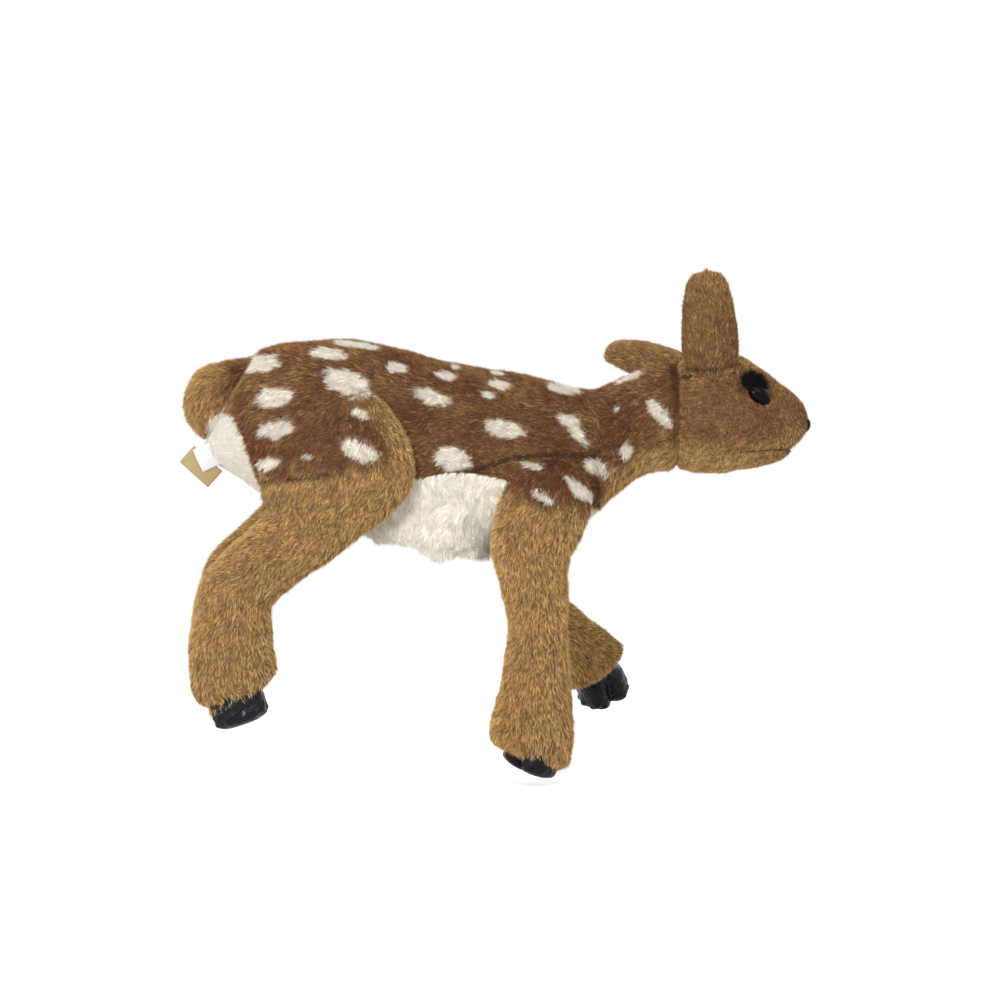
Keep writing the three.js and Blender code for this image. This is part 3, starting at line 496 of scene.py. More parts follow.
def locks(surface, u, v, size, rng):
    """Gathers roots into locks of a length and a width: cells of the skin, staggered column by column.

    Gives three random numbers that all fibres of a lock share, and the middle of each fibre's lock.
    """
    row, column = grid(LOCK_GRID, LOCK_GRID)
    p = surface(row.ravel(), column.ravel()).reshape(LOCK_GRID, LOCK_GRID, 3)
    along = max(round(np.linalg.norm(np.diff(p, axis=0), axis=-1).sum(0).mean() / size[0]), 1)
    across = max(round(np.linalg.norm(np.diff(p, axis=1), axis=-1).sum(1).mean() / size[1]), 1)
    j = np.minimum((v * across).astype(int), across - 1)
    stagger = rng.random(across)[j]
    i = np.floor(u * along + stagger).astype(int)
    middle = surface(np.clip((i - stagger + 0.5) / along, 0, 1), (j + 0.5) / across)
    return rng.normal(size=((along + 2) * across, 3))[i * across + j], middle


def pile(
    name, surface, material, coat, flow, long,
    wide=0.5, lean=30, density=2.2, seed=1, keep=None, stray=0.2, lock_size=STREAK,
):
    """The pile of a skin: four-faced fibres that taper from a small triangle at the root to a point.

    A root lies at random on the surface. The fibre's way is the flow laid flat on the skin, swung by a
    soft random field, by lock and by chance, and raised by the lean. The tips of a lock draw together,
    and length, shade and colour vary by lock and by chance.
    """
    rng = np.random.default_rng(seed)
    u, v = scatter(surface, density, MOST_FIBRES, rng)
    at, along, across, out = normals(surface, u, v)
    brown, pale, dark = coat(at)
    way = flow(at, along, across)
    lock, middle = locks(surface, u, v, lock_size, rng)
    kept = np.ones(len(at), bool) if keep is None else keep(at)
    chance = rng.normal(size=(len(at), 3))
    number = rng.random((len(at), 2))
    held = (at, out, way, brown, pale, dark, lock, middle, chance, number)
    at, out, way, brown, pale, dark, lock, middle, chance, number = (a[kept] for a in held)
    flat = unit(way - out * np.sum(way * out, -1, keepdims=True))
    side = np.cross(out, flat)
    swing = SWING * ripple(at, SWING_FIELDS[0], seed) + SWING * ripple(at, SWING_FIELDS[1], seed + 1)
    swing += stray * (chance[:, 0] + lock[:, 0])
    laid = flat * np.cos(swing)[:, None] + side * np.sin(swing)[:, None]
    rise = lean + RISE["chance"] * chance[:, 1] + RISE["field"] * ripple(at, RISE["size"], seed + 2)
    rise = np.radians(np.clip(rise, *RISE["bounds"]))
    fibre = laid * np.cos(rise)[:, None] + out * np.sin(rise)[:, None]
    vary = REACH["least"] + REACH["chance"] * number[:, 0] + REACH["lock"] * np.clip(lock[:, 1], -2, 2)
    reach = long * vary * (1 - REACH["seam"] * np.clip(dark, 0, 1))
    left = unit(np.cross(out, fibre))
    over = np.cross(fibre, left)
    root = at - out * ROOT_DEPTH
    half = (wide * (WIDTH["least"] + WIDTH["chance"] * number[:, 1]) / 2)[:, None]
    gather = DRAWN * np.clip(np.sum((middle - at) * left, -1), -1, 1)[:, None] * left
    tips = root + fibre * reach[:, None] + gather
    points = np.stack([root + left * half, root - left * half, root + over * half, tips], 1).reshape(-1, 3)
    first = np.arange(len(at))[:, None, None] * 4
    faces = (first + np.array([[0, 2, 3], [2, 1, 3], [1, 0, 3], [0, 1, 2]])).reshape(-1, 3)
    obj = put(name, points, faces, material, False)
    tip = np.tile([0.0, 0.0, 0.0, 1.0], len(at))
    glint = SHADE["light"] * np.maximum(chance[:, 2], 0) + SHADE["dark"] * np.minimum(chance[:, 2], 0)
    field = SHADE["field"] * ripple(at, SHADE["size"], seed + 4)
    # The coat's painted shade of seams and rump darkens the fibre
    shade = SHADE["middle"] + field + SHADE["lock"] * lock[:, 2] + glint - dark
    brown = np.clip(brown * (1 - LESS_BROWN * np.clip(lock[:, 1] - 0.5, 0, 1)), 0, 1)
    write_coat(obj, np.stack([np.repeat(brown, 4), np.repeat(pale, 4), tip], -1), np.repeat(shade, 4))
    cell_map(obj, len(at), faces)
    return obj


def cell_map(obj, count, faces):
    """A map that gives each fibre a cell of its own on a square grid, root at the bottom, tip at the top."""
    side = math.ceil(math.sqrt(count))
    corner = np.array([(0.15, 0.15), (0.85, 0.15), (0.5, 0.15), (0.5, 0.85)])
    fibre = faces.ravel() // 4
    place = np.stack([fibre % side, fibre // side], -1) + corner[faces.ravel() % 4]
    layer = obj.data.uv_layers.new(name="OFBake")
    layer.data.foreach_set("uv", (place / side).astype(np.float32).ravel())


# Coats: the brown share, the pale share and the painted shade at points of the skin


def spots(p):
    """The pale share: a spot is a tilted ellipse seen from the side, or from above on the spine."""
    x, y, z = p.T
    uneven = 0.13 * ripple(p, 9, 71) + 0.08 * ripple(p, 4, 72)
    pale = np.zeros(len(p))
    for at_x, at_z, long, tall, tilt in SIDE_SPOTS:
        c, s = math.cos(math.radians(tilt)), math.sin(math.radians(tilt))
        ahead = (x - at_x) * c + (z - at_z) * s
        up = (z - at_z) * c - (x - at_x) * s
        away = np.hypot(ahead / long, up / tall) * 2 + uneven
        pale = np.maximum(pale, 1 - smooth(*SPOT_FADE, away))
    for at_x, at_y, long, wide in SPINE_SPOTS:
        away = np.hypot((x - at_x) / long, (y - at_y) / wide) * 2 + uneven
        pale = np.maximum(pale, (1 - smooth(*SPOT_FADE, away)) * (z > SPINE_Z))
    return SPOT_SHARE * pale


def line(p, seam):
    """The painted shade of a seam's crease seen from the side: a bell curve across its width."""
    stations = seam["at"]
    (height,) = run(stations, p[:, 0])
    inside = (p[:, 0] > stations[0][0]) & (p[:, 0] < stations[-1][0])
    return seam["dark"] * (np.exp(-(((p[:, 2] - height) / seam["wide"]) ** 2)) * inside)


def tail_fade(p):
    """The brown share along the back, all brown in front and a quarter on the tail."""
    return 0.25 + 0.75 * smooth(*TAIL_FADE, p[:, 0] + 2 * ripple(p, 10, 68))


def body_coat(p):
    """Brown with spots, tan on the lower neck, breast and towards the tail, painted shade on the shoulder
    seam.
    """
    (edge,) = run(NECK_TAN, p[:, 0])
    brown = smooth(edge - NECK_FADE, edge + NECK_FADE, p[:, 2] + 3 * ripple(p, 14, 61)) * tail_fade(p)
    mean, vary = BACK_BROWN
    return brown * (mean + vary * ripple(p, 34, 66)), spots(p), line(p, SHOULDER_SEAM_SHADE)


def rump_coat(p):
    """White with painted shade below, brown towards the back."""
    pale = 1 - smooth(*RUMP_FADE, p[:, 2] + 2 * ripple(p, 8, 67))
    return tail_fade(p), pale, RUMP_PAINTED_SHADE * pale**2


def front_coat(p):
    """Tan, brown with spots at the shoulder above a slanting line, painted shade along the shoulder seam."""
    edge = SHOULDER_EDGE["z"] - (p[:, 0] - SHOULDER_EDGE["x"]) * SHOULDER_EDGE["slope"]
    brown = smooth(edge - 7, edge + 6, p[:, 2] + 2.5 * ripple(p, 12, 62))
    return brown, spots(p) * (p[:, 2] > SHOULDER_EDGE["spots"]), line(p, SHOULDER_SEAM_SHADE)


def hind_coat(p):
    """Tan; brown with spots on the haunch above its seam and in its rolled front edge; painted seam shade.
    """
    x, z = p[:, 0], p[:, 2]
    brown = HAUNCH_BROWN
    away = np.hypot(x - brown["x"], z - brown["z"])
    roll = smooth(*brown["roll"], away + 2 * ripple(p, 12, 63)) * smooth(*brown["roll_x"], x)
    above = smooth(*brown["below"], z - 0.1 * (x + 80) + 2 * ripple(p, 14, 64))
    share = brown["share"] * (1 - roll) * above
    return share, spots(p) * (z > brown["spots"]), line(p, HAUNCH_SEAM_SHADE)


def plain_coat(brown, pale):
    """The same shares of brown and pale all over."""

    def coat(p):
        return np.full(len(p), float(brown)), np.full(len(p), float(pale)), np.zeros(len(p))

    return coat


tan_coat = plain_coat(0.0, 0.0)
white_coat = plain_coat(0.0, 1.0)


def head_coat(p):
    """Tan over brown, lighter towards the lips and the crown, painted shade along the seam under the near
    ear.
    """
    brown = HEAD_BROWN
    light = smooth(*brown["lips"], p[:, 0]) + 1 - smooth(*brown["chin"], p[:, 2])
    light = light + smooth(*brown["crown"], p[:, 2])
    seam = line(p, EAR_SEAM_SHADE) * (p[:, 1] < 0)
    share = brown["share"] + brown["vary"] * ripple(p, 22, 65) - brown["lost"] * light
    return np.clip(share, 0, 1), np.zeros(len(p)), seam


def ear_coat(place):
    """Tan over brown, painted shade along the seam at the ear's root."""
    lean = unit(np.array(place["lean"]))

    def coat(p):
        up = (p - side_point(place["x"], place["z"], place["side"])) @ lean
        brown = EAR_BROWN["share"] - EAR_BROWN["lost"] * smooth(*EAR_BROWN["tip"], up)
        seam = EAR_ROOT_SHADE["dark"] * np.exp(-(((up - EAR_ROOT_SHADE["up"]) / EAR_ROOT_SHADE["wide"]) ** 2))
        return brown, np.zeros(len(p)), seam

    return coat


def tail_coat(p):
    """Tan, browner towards the back, and white on the side that lies against the rump."""
    x, y, z = p.T
    white = TAIL_WHITE
    hidden = smooth(*white["x"], x - white["lean"] * (z - white["level"])) * (z < white["below"])
    return tail_fade(p), hidden * (np.abs(y) < white["half"]), np.zeros(len(p))


# The body


def around(x, turn, inset):
    """A point of the body: two half ellipses joined at the widest level.

    Turn 0 is the underside, a quarter the right side, a half the back. Soft lumps of padding change
    the inset by a fraction of a millimetre.
    """
    top, bottom, widest, half = run(OUTLINE, x)
    down = np.cos(turn)
    reach = np.where(down > 0, widest - bottom, top - widest)
    plain = stack(x, -half * np.sin(turn), widest - down * reach)
    inset = inset + LUMP * ripple(plain, 38, 11)
    y = -np.maximum(half - inset, 0) * np.sin(turn)
    return stack(x, y, widest - down * np.maximum(reach - inset, 0))


def rump_edge(turn):
    """Place along X of the slanting rump seam at a turn."""
    top, bottom, widest, _ = run(OUTLINE, np.full(np.shape(turn), float(REAR_X)))
    down = np.cos(turn)
    z = widest - down * np.where(down > 0, widest - bottom, top - widest)
    return RUMP_SEAM["x"] - RUMP_SEAM["lean"] * (z - RUMP_SEAM["z"])


def belly_turn(u):
    """Turn of the belly seam at u: the angle at which the section reaches the seam's height."""
    x = REAR_X + u * (NECK_X - REAR_X)
    _, bottom, widest, _ = run(OUTLINE, x)
    (height,) = run(BELLY_SEAM, x)
    return np.arccos(np.clip((widest - height) / (widest - bottom), -1, 1))


def trunk(u, turn, inset):
    """A point of the trunk: u runs from the rump seam to the root of the neck."""
    rear = rump_edge(turn)
    return around(rear + u * (NECK_X - rear), turn, inset)


def back_surface(side):
    """Half the back: v from the belly seam up to the spine."""

    def surface(u, v, inset=SKIN_DEPTH):
        low = belly_turn(u)
        p = trunk(u, low + v * (math.pi - low), inset)
        return p * np.array([1, -side, 1])

    return surface


def belly_surface(u, v, inset=SKIN_DEPTH):
    """The belly round the hand opening: u from the opening's ellipse out to the panel's four edges.

    Beside the opening the panel rolls down over the cuff, most of all towards the front.
    """
    c, s = np.cos(TURN * v), np.sin(TURN * v)
    middle = OPENING["u"]
    ahead = np.where(c > 0, CHEST_FROM - middle, middle)
    edge = 1 / np.maximum(np.abs(c) / ahead, np.abs(s))
    share = OPENING["du"] * c * (1 - u) + edge * c * u
    turn = OPENING["dv"] * s * (1 - u) + edge * s * u
    at = np.clip(middle + share, 0, 1)
    up = BELLY["drawn_up"] * (1 - np.abs(turn) ** 1.5)
    p = trunk(at, turn * belly_turn(at), inset + np.maximum(up, 0))
    edge = 1 - smooth(0, 0.4, u)
    along = (p[:, 0] - BELLY["fold_x"]) / BELLY["fold_long"]
    fold = BELLY["fold"] * np.exp(-(along**2) - (((u - 0.22) / 0.2) ** 2))
    p[:, 1] -= s * (BELLY["out"] * edge + fold)
    drop = (BELLY["down"] + BELLY["down_in_front"] * smooth(-10, 4, p[:, 0])) * edge + fold
    p[:, 2] += BELLY["lumps"] * ripple(p, 26, 12) * (1 - np.abs(turn)) - np.abs(s) * drop
    return p


def chest_surface(u, v, inset=SKIN_DEPTH):
    """The white chest from the belly forward to where its two seams meet."""
    at = CHEST_FROM + u * (CHEST_TO - CHEST_FROM)
    return trunk(at, (2 * v - 1) * belly_turn(at), inset)


def rump_surface(u, v, inset=SKIN_DEPTH):
    """The rump from its hind pole to the slanting seam."""
    turn = TURN * v
    rear = OUTLINE[0][0]
    return around(rear + u * (rump_edge(turn) - rear), turn, inset)


def neck_surface(u, v, inset=SKIN_DEPTH):
    """The neck, drawn in towards the head and ending in a ball inside it."""
    shown = NAPE["shown"]
    x = NECK_X + np.clip(u / shown, 0, 1) * (NAPE["x"] - NECK_X)
    p = around(x, TURN * v, inset + NAPE["drawn_in"] * smooth(NAPE["x"] - 7, NAPE["x"] - 1, x))
    bend = np.clip((u - shown) / (1 - shown), 0, 1) * math.pi / 2
    middle = np.array([0, NAPE["z"]])
    p[:, 1:] = middle + (p[:, 1:] - middle) * np.cos(bend)[:, None]
    p[:, 0] += NAPE["ball"] * np.sin(bend)
    return p


def lining_surface(u, v, inset=0):
    """The room for the hand: a bag from the opening's edge that widens into the body and closes above."""
    rise = BAG["floor"] + BAG["high"] * u
    belly = np.sin(np.clip(u, 0, 1) * math.pi) ** 0.7
    shut = np.sqrt(np.maximum(1 - np.clip((u - BAG["closes"]) / (1 - BAG["closes"]), 0, 1) ** 2, 0))
    long = (OPENING["long"] + BAG["longer"] * belly - inset) * shut
    wide = (OPENING["wide"] + BAG["wider"] * belly - inset) * shut
    lift = BAG["lift"] * np.sin(TURN * v) ** 2 * (1 - u) ** 3
    x = BAG["ahead"] * belly + long * np.cos(TURN * v)
    return stack(x, wide * np.sin(TURN * v), rise + lift - inset * u)


def cuff_surface(u, v):
    """The cuff: a rounded loop carried round the opening, its outer wall waving in and out in gathers."""
    c, s = np.cos(TURN * u), np.sin(TURN * u)
    turn = TURN * v
    fold = np.cos(CUFF["gathers"] * turn + CUFF["uneven"] * np.sin(2 * turn))
    out = CUFF["thick"] / 2 * (1 + np.sign(c) * np.abs(c) ** CUFF["square"])
    out += CUFF["depth"] * fold * (0.4 + 0.6 * (c > 0))
    (low,) = run(CUFF_EDGE, OPENING["long"] * np.cos(turn))
    low = low - CUFF["wave"] * fold
    middle = (low + CUFF["high"]) / 2
    z = middle + (CUFF["high"] - low) / 2 * np.sign(s) * np.abs(s) ** CUFF["square"]
    x = (OPENING["long"] - 1 + out) * np.cos(turn)
    return stack(x, (OPENING["wide"] - 1 + out) * np.sin(turn), z)


# Head and jaw


def mouth_height(x):
    """Height of the mouth line, which drops steeply behind the jaw's hinge."""
    return JAW["z"] + (x - JAW["x"]) * np.where(x > JAW["x"], JAW["slope"], JAW["slope_behind"])


def head_surface(u, v, inset=SKIN_DEPTH):
    """The head: a flat back, a rolled rim, and the outline forward to the nose, cut along the mouth line.

    Beside each eye the skin dips a little.
    """
    back_share, rim_share = 0.06, 0.16
    rim = np.clip((u - back_share) / (rim_share - back_share), 0, 1) * math.pi / 2
    ahead = np.clip((u - rim_share) / (1 - rim_share), 0, 1)
    nose = OUTLINE[-1][0]
    front = NAPE["x"] + HEAD["ahead"]
    rear = front - HEAD["rim"]
    x = front - HEAD["rim"] * np.cos(rim) + (nose - front) * np.sin(ahead * math.pi / 2) ** HEAD["crowd"]
    deep = inset + HEAD["sunk"] * (1 - np.sin(rim))
    p = around(np.maximum(x, rear), TURN * v, deep)
    shut = np.clip(u / back_share, 0, 1)[:, None]
    middle = np.array([rear, 0, NAPE["z"]])
    p = middle + (p - middle) * shut
    along, up = (p[:, 0] - EYE["x"]) / HEAD["dip_long"], (p[:, 2] - EYE["z"]) / HEAD["dip_tall"]
    dip = HEAD["dip"] * np.exp(-(along**2 + up**2))
    p[:, 1] -= np.sign(p[:, 1]) * np.minimum(dip, np.abs(p[:, 1]))
    p[:, 2] = np.maximum(p[:, 2], mouth_height(p[:, 0]) + LIP_GAP)
    return p


def jaw_surface(u, v, inset=SKIN_DEPTH):
    """The jaw: the outline under the mouth line, fuller at the chin, with a flat top.

    v runs under the jaw from its middle up to the lip, back over the flat top, and down to the other lip.
    It is rounded off behind its hinge and at the front of the lip.
    """
    x = JAW["rear"] + u * (JAW["front"] - JAW["rear"])
    _, bottom, widest, half = run(OUTLINE, x)
    top = JAW["z"] + (x - JAW["x"]) * JAW["slope"] - LIP_GAP
    reach = widest - bottom - inset + JAW["chin"] * smooth(JAW["chin_from"], JAW["chin_to"], x)
    lip = np.arccos(np.clip((widest - top) / reach, -1, 1))
    off = (v + 0.5) % 1 - 0.5
    shown = 0.36
    turn = lip * np.clip(off / shown, -1, 1)
    over = np.clip((0.5 - np.abs(off)) / (0.5 - shown), 0, 1)
    p = stack(x, -(half - inset) * np.sin(turn) * over, widest - np.cos(turn) * reach)
    behind = np.clip((JAW["rear"] + JAW["round"] - x) / JAW["round"], 0, 1)
    before = np.clip((x - JAW["front"] + JAW["round_front"]) / JAW["round_front"], 0, 1)
    swell = (np.sqrt(1 - behind**2) * np.sqrt(1 - before**2))[:, None]
    middle = stack(x, 0, top - JAW["middle"])
    return middle + (p - middle) * swell


def plate_surface(above):
    """A felt plate of the mouth: v round its edge, u from one face's middle over the edge to the other's."""

    def surface(u, v):
        fore = np.cos(TURN * v)
        x = PLATE["x"] + PLATE["half"] * fore
        _, bottom, widest, half = run(OUTLINE, x)
        level = JAW["z"] + (x - JAW["x"]) * JAW["slope"]
        down = np.sqrt(np.maximum(1 - ((widest - level) / (widest - bottom + 0.01)) ** 2, 0))
        edge = np.sqrt(np.abs(np.sin(TURN * v))) * np.sign(np.sin(TURN * v))
        y = np.maximum(half * down - PLATE["inside"], PLATE["least"]) * edge
        share = np.sin(u * math.pi) ** 0.5
        side = np.cos(u * math.pi)
        at = PLATE["x"] + (x - PLATE["x"]) * share
        level = JAW["z"] + (at - JAW["x"]) * JAW["slope"] + above
        return stack(at, y * share, level + PLATE["thick"] / 2 * side)

    return surface


# Legs and hooves


class Leg:
    """The course of one leg: points, ways and sizes along its length, from its joint to the hoof."""

    def __init__(self, name, sizes, bends, joint, side, pad):
        upper, thigh, lower, toe, splay = LIE[name]
        self.past, self.slant, self.drawn, self.ahead, self.twist, self.tilt = FEET[name]
        self.sizes, self.pad = sizes, pad
        self.total = sizes[-1][0]
        self.joint = np.array([joint[0], side * joint[1], joint[2]], float)
        step = self.total / PATH_STEPS
        s = (np.arange(PATH_STEPS) + 0.5) * step
        at_thigh, thigh_bend, at_knee, knee_bend = bends
        degrees = upper + (thigh - upper) * smooth(at_thigh - thigh_bend, at_thigh + thigh_bend, s)
        degrees += (lower - thigh) * smooth(at_knee - knee_bend, at_knee + knee_bend, s)
        degrees += (toe - lower) * smooth(self.total - 2 * TOE_BEND, self.total, s)
        angle = np.radians(degrees)
        out = np.radians(splay) * smooth(0, at_knee, s)
        moves = step * stack(np.cos(out) * np.sin(angle), side * np.sin(out), -np.cos(out) * np.cos(angle))
        path = self.joint + np.vstack([np.zeros(3), np.cumsum(moves, axis=0)])
        self.stops = np.column_stack([np.arange(PATH_STEPS + 1) * step, path])
        self.start = unit(moves[0])
        self.end = unit(moves[-1])

    def at(self, s):
        """Points of the course, carried on straight before its start and past its end."""
        inside = np.stack(run(self.stops, s), -1)
        past = np.maximum(s - self.total, 0)[:, None] * self.end
        return inside + np.minimum(s, 0)[:, None] * self.start + past

    def frame(self, s):
        """Point, way, side and over vectors along the course."""
        way = unit(self.at(s + 0.5) - self.at(s - 0.5))
        side = unit(np.cross(np.array([0.0, 1.0, 0.0]), way))
        return self.at(s), way, side, np.cross(way, side)

    def surface(self, u, v, inset=SKIN_DEPTH):
        """The leg: ellipses square to its course, rounded over the joint, cut blunt and slanting below."""
        past = self.past + self.slant * np.cos(TURN * v)
        s = -self.pad + u * (self.pad + self.total + past)
        wide, thick = run(self.sizes, np.maximum(s, 0))
        over_joint = np.sqrt(np.maximum(1 - np.clip(-s / self.pad, 0, 1) ** 2, 0))
        near_end = np.clip((s - self.total - past + LEG_END) / LEG_END, 0, 1)
        at_hoof = np.maximum(1 - near_end**2.6, 0) ** 0.6
        swell = over_joint * at_hoof
        middle, _, side, over = self.frame(s)
        c, n = np.cos(TURN * v), np.sin(TURN * v)
        plain = middle + side * (wide * c)[:, None] + over * (thick * n)[:, None]
        lump = inset + LUMP * ripple(plain, 30, 21)
        wide = np.maximum(wide - lump, 1) * swell
        thick = np.maximum(thick - lump, 1) * swell
        return middle + side * (wide * c)[:, None] + over * (thick * n)[:, None]

    def hoof(self, u, v):
        """The hoof: a cloven, slightly flaring block from inside the leg to a rounded sole, wrinkled."""
        wall = HOOF["sole_from"]
        share = np.clip(u / wall, 0, 1)
        under = np.clip((u - wall) / (1 - wall), 0, 1) * math.pi / 2
        turn = TURN * v
        off = np.arctan2(np.sin(turn), np.cos(turn))
        notch = 1 - HOOF["cleft"] * (0.3 + 0.7 * share) * np.exp(-((off / HOOF["cleft_wide"]) ** 2))
        notch *= 1 - HOOF["heel"] * share * np.exp(-(((np.abs(off) - math.pi) / HOOF["cleft_wide"]) ** 2))
        narrow = HOOF["narrow"]
        swell = narrow + (1 - narrow) * smooth(0, 0.4, share) + (HOOF["flare"] - 1) * share
        swell = swell * np.cos(under) ** 0.6 * notch
        straight = HOOF["root"] + HOOF["long"] - HOOF["sole"]
        down = -HOOF["root"] - self.drawn + share * straight + HOOF["sole"] * np.sin(under)
        side = unit(np.cross(np.array([0.0, 1.0, 0.0]), self.end))
        end = self.stops[-1, 1:] - self.ahead * side
        c, s = math.cos(math.radians(self.tilt)), math.sin(math.radians(self.tilt))
        way, side = self.end * c - side * s, side * c + self.end * s
        over = np.cross(way, side)
        c, s = math.cos(math.radians(self.twist)), math.sin(math.radians(self.twist))
        side, over = side * c + over * s, over * c - side * s
        a = HOOF["wide"] * swell * np.cos(turn)
        b = HOOF["thick"] * swell * np.sin(turn)
        middle = end + down[:, None] * way
        p = middle + a[:, None] * side + b[:, None] * over
        crease = 0.5 - np.abs(ripple(p - 0.6 * middle, 11, 31)) + 0.5 * ripple(p, 5, 32)
        return p + unit(p - middle) * (HOOF["wrinkle"] * crease * share * np.cos(under))[:, None]


def haunch(leg):
    """The hind leg's surface with its haunch laid against the body.

    Above and behind the joint the pad sinks towards the body, so that only its front edge stands proud.
    Low down that edge bulges forward.
    """
    side = np.sign(leg.joint[1])

    def surface(u, v, inset=SKIN_DEPTH):
        p = leg.surface(u, v, inset)
        behind = np.maximum((leg.joint[0] - p[:, 0]) / HIND_PAD, 0)
        above = np.maximum((p[:, 2] - leg.joint[2]) / HIND_PAD, 0)
        share = np.minimum(behind + HAUNCH_SINK["above"] * above, HAUNCH_SINK["most"]) ** 1.5
        high = smooth(HAUNCH_SINK["from"], HAUNCH_SINK["to"], p[:, 2])
        p[:, 1] -= side * HAUNCH_SINK["deep"] * share * high
        rise = p[:, 2] - HAUNCH_BULGE["z"]
        reach = np.where(rise > 0, HAUNCH_BULGE["above"], HAUNCH_BULGE["below"])
        front = smooth(0, HAUNCH_BULGE["from"], p[:, 0] - leg.joint[0])
        p[:, 0] += HAUNCH_BULGE["ahead"] * front * np.exp(-((rise / reach) ** 2))
        return p

    return surface


LEGS = {
    "front_leg_right": Leg("front_leg_right", FRONT_LEG, FRONT_BENDS, SHOULDER, -1, FRONT_PAD),
    "front_leg_left": Leg("front_leg_left", FRONT_LEG, FRONT_BENDS, SHOULDER, 1, FRONT_PAD),
    "hind_leg_right": Leg("hind_leg_right", HIND_LEG, HIND_BENDS, HIP, -1, HIND_PAD),
    "hind_leg_left": Leg("hind_leg_left", HIND_LEG, HIND_BENDS, HIP, 1, HIND_PAD),
}


# Tail and ears


def tail_surface(u, v, inset=SKIN_DEPTH):
    """The tail: ellipses square to its bent course, rounded at the tip."""
    last = len(TAIL) - 1
    step = np.clip(u, 0, 1) * last
    x, z, wide, thick = run(TAIL, step)
    x2, z2, _, _ = run(TAIL, step + 0.05)
    x1, z1, _, _ = run(TAIL, step - 0.05)
    way = unit(stack(x2 - x1, 0, z2 - z1))
    side = np.cross(np.array([0.0, 1.0, 0.0]), way)
    tip = np.clip((u - TAIL_TIP["from"]) / (1 - TAIL_TIP["from"]), 0, 1)
    shut = np.sqrt(np.maximum(1 - tip**2, 0)) * np.sqrt(np.clip(u / 0.05, 0, 1))
    c, s = np.cos(TURN * v), np.sin(TURN * v)
    middle = np.array(TAIL_ROOT) + stack(x, 0, z) + way * (TAIL_TIP["past"] * tip)[:, None]
    wide = np.maximum(wide - inset, 0.5) * shut
    thick = np.maximum(thick - inset, 0.5) * shut
    return middle + side * (wide * c)[:, None] + stack(0, thick * s, 0)


def side_point(x, z, side, depth=0.0):
    """The point at a place seen from the side, a depth under the outline's ellipse."""
    top, bottom, widest, half = (float(a) for a in run(OUTLINE, np.array(float(x))))
    reach = top - widest if z > widest else widest - bottom
    share = math.sqrt(max(1 - ((z - widest) / reach) ** 2, 0.001))
    return np.array([x, side * (half * share - depth), z], float)


def ear_surface(which, lining):
    """An ear's leaf, or its lining: flat ellipses from root to tip, bent across into a cup."""
    place = EARS[which]
    root = side_point(place["x"], place["z"], place["side"])
    lean = unit(np.array(place["lean"]))
    across = np.array(place["across"])
    across = unit(across - lean * (across @ lean))
    back = np.cross(lean, across)
    depth = EAR["lining"] / 2 if lining else EAR["thick"] / 2
    offset = -(EAR["thick"] / 2 + EAR["off"]) if lining else 0.0
    narrow = EAR["narrower"] if lining else 0.0
    first, last = (0.0, 0.97) if lining else (-0.1, 1.0)

    def surface(u, v, inset=0):
        share = first + u * (last - first)
        (half,) = run(EAR_LEAF, share)
        half = np.maximum(half - narrow, 0) * np.sqrt(np.clip(u / 0.04, 0, 1))
        edge = np.cos(TURN * v)
        height = np.clip(share, 0, 1)
        cup = EAR["cup"] * ((1 - 0.5 * height) * (1 - edge**2) - (1 - height) ** 2) * half / EAR_LEAF[2][1]
        thick = depth * np.sin(TURN * v) * np.minimum(half / 6, 1) ** 0.5
        a = half * edge
        b = offset + thick + cup
        return root + a[:, None] * across + b[:, None] * back + (share * EAR["long"])[:, None] * lean

    return surface


# Face


def on_head(x, z, side):
    """The point of the head's skin at a place seen from the side, and its outward way."""
    here = side_point(x, z, side, SKIN_DEPTH)
    ahead = side_point(x + 1, z, side, SKIN_DEPTH) - here
    up = side_point(x, z + 1, side, SKIN_DEPTH) - here
    out = np.cross(ahead, up)
    return here, unit(out * (1 if out[1] * side > 0 else -1))


def dome_surface(place, out, long, tall, bulge, tilt=0.0):
    """A low dome on a point of the head: an ellipsoid with its short axis outwards, tall axis near Z."""
    out = unit(out)
    up = unit(np.array([0, 0, 1.0]) - out * out[2])
    ahead = np.cross(up, out)
    ahead = ahead * (1 if ahead[0] >= 0 else -1)
    c, s = math.cos(math.radians(tilt)), math.sin(math.radians(tilt))
    ahead, up = ahead * c + up * s, up * c - ahead * s

    def surface(u, v, inset=0):
        high = np.cos(u * math.pi)
        round_it = np.sin(u * math.pi)
        a = long * round_it * np.cos(TURN * v)
        b = tall * round_it * np.sin(TURN * v)
        return place + a[:, None] * ahead + b[:, None] * up + (bulge * high)[:, None] * out

    return surface


# Finishes


def nodes_of(name):
    """A fresh material with its Principled shader."""
    material = bpy.data.materials.new(name)
    material.use_nodes = True
    tree = material.node_tree
    return material, tree, tree.nodes["Principled BSDF"]


def mixed(tree, share, first, second):
    """A colour mixed between two colours or sockets."""
    mix = tree.nodes.new("ShaderNodeMix")
    mix.data_type = "RGBA"
    for socket, value in ((mix.inputs[0], share), (mix.inputs[6], first), (mix.inputs[7], second)):
        if isinstance(value, bpy.types.NodeSocket):
            tree.links.new(value, socket)
        else:
            socket.default_value = value if isinstance(value, float) else (*value, 1.0)
    return mix.outputs[2]


def pattern(tree, kind, scale, **settings):
    """A texture of a kind on the object's own coordinates."""
    place = tree.nodes.new("ShaderNodeTexCoord")
    texture = tree.nodes.new(kind)
    texture.inputs["Scale"].default_value = scale
    for name, value in settings.items():
        texture.inputs[name].default_value = value
    tree.links.new(place.outputs["Object"], texture.inputs["Vector"])
    return texture


def joined(tree, operation, first, second):
    """Two values put together by an operation."""
    node = tree.nodes.new("ShaderNodeMath")
    node.operation = operation
    tree.links.new(first, node.inputs[0])
    tree.links.new(second, node.inputs[1])
    return node.outputs[0]


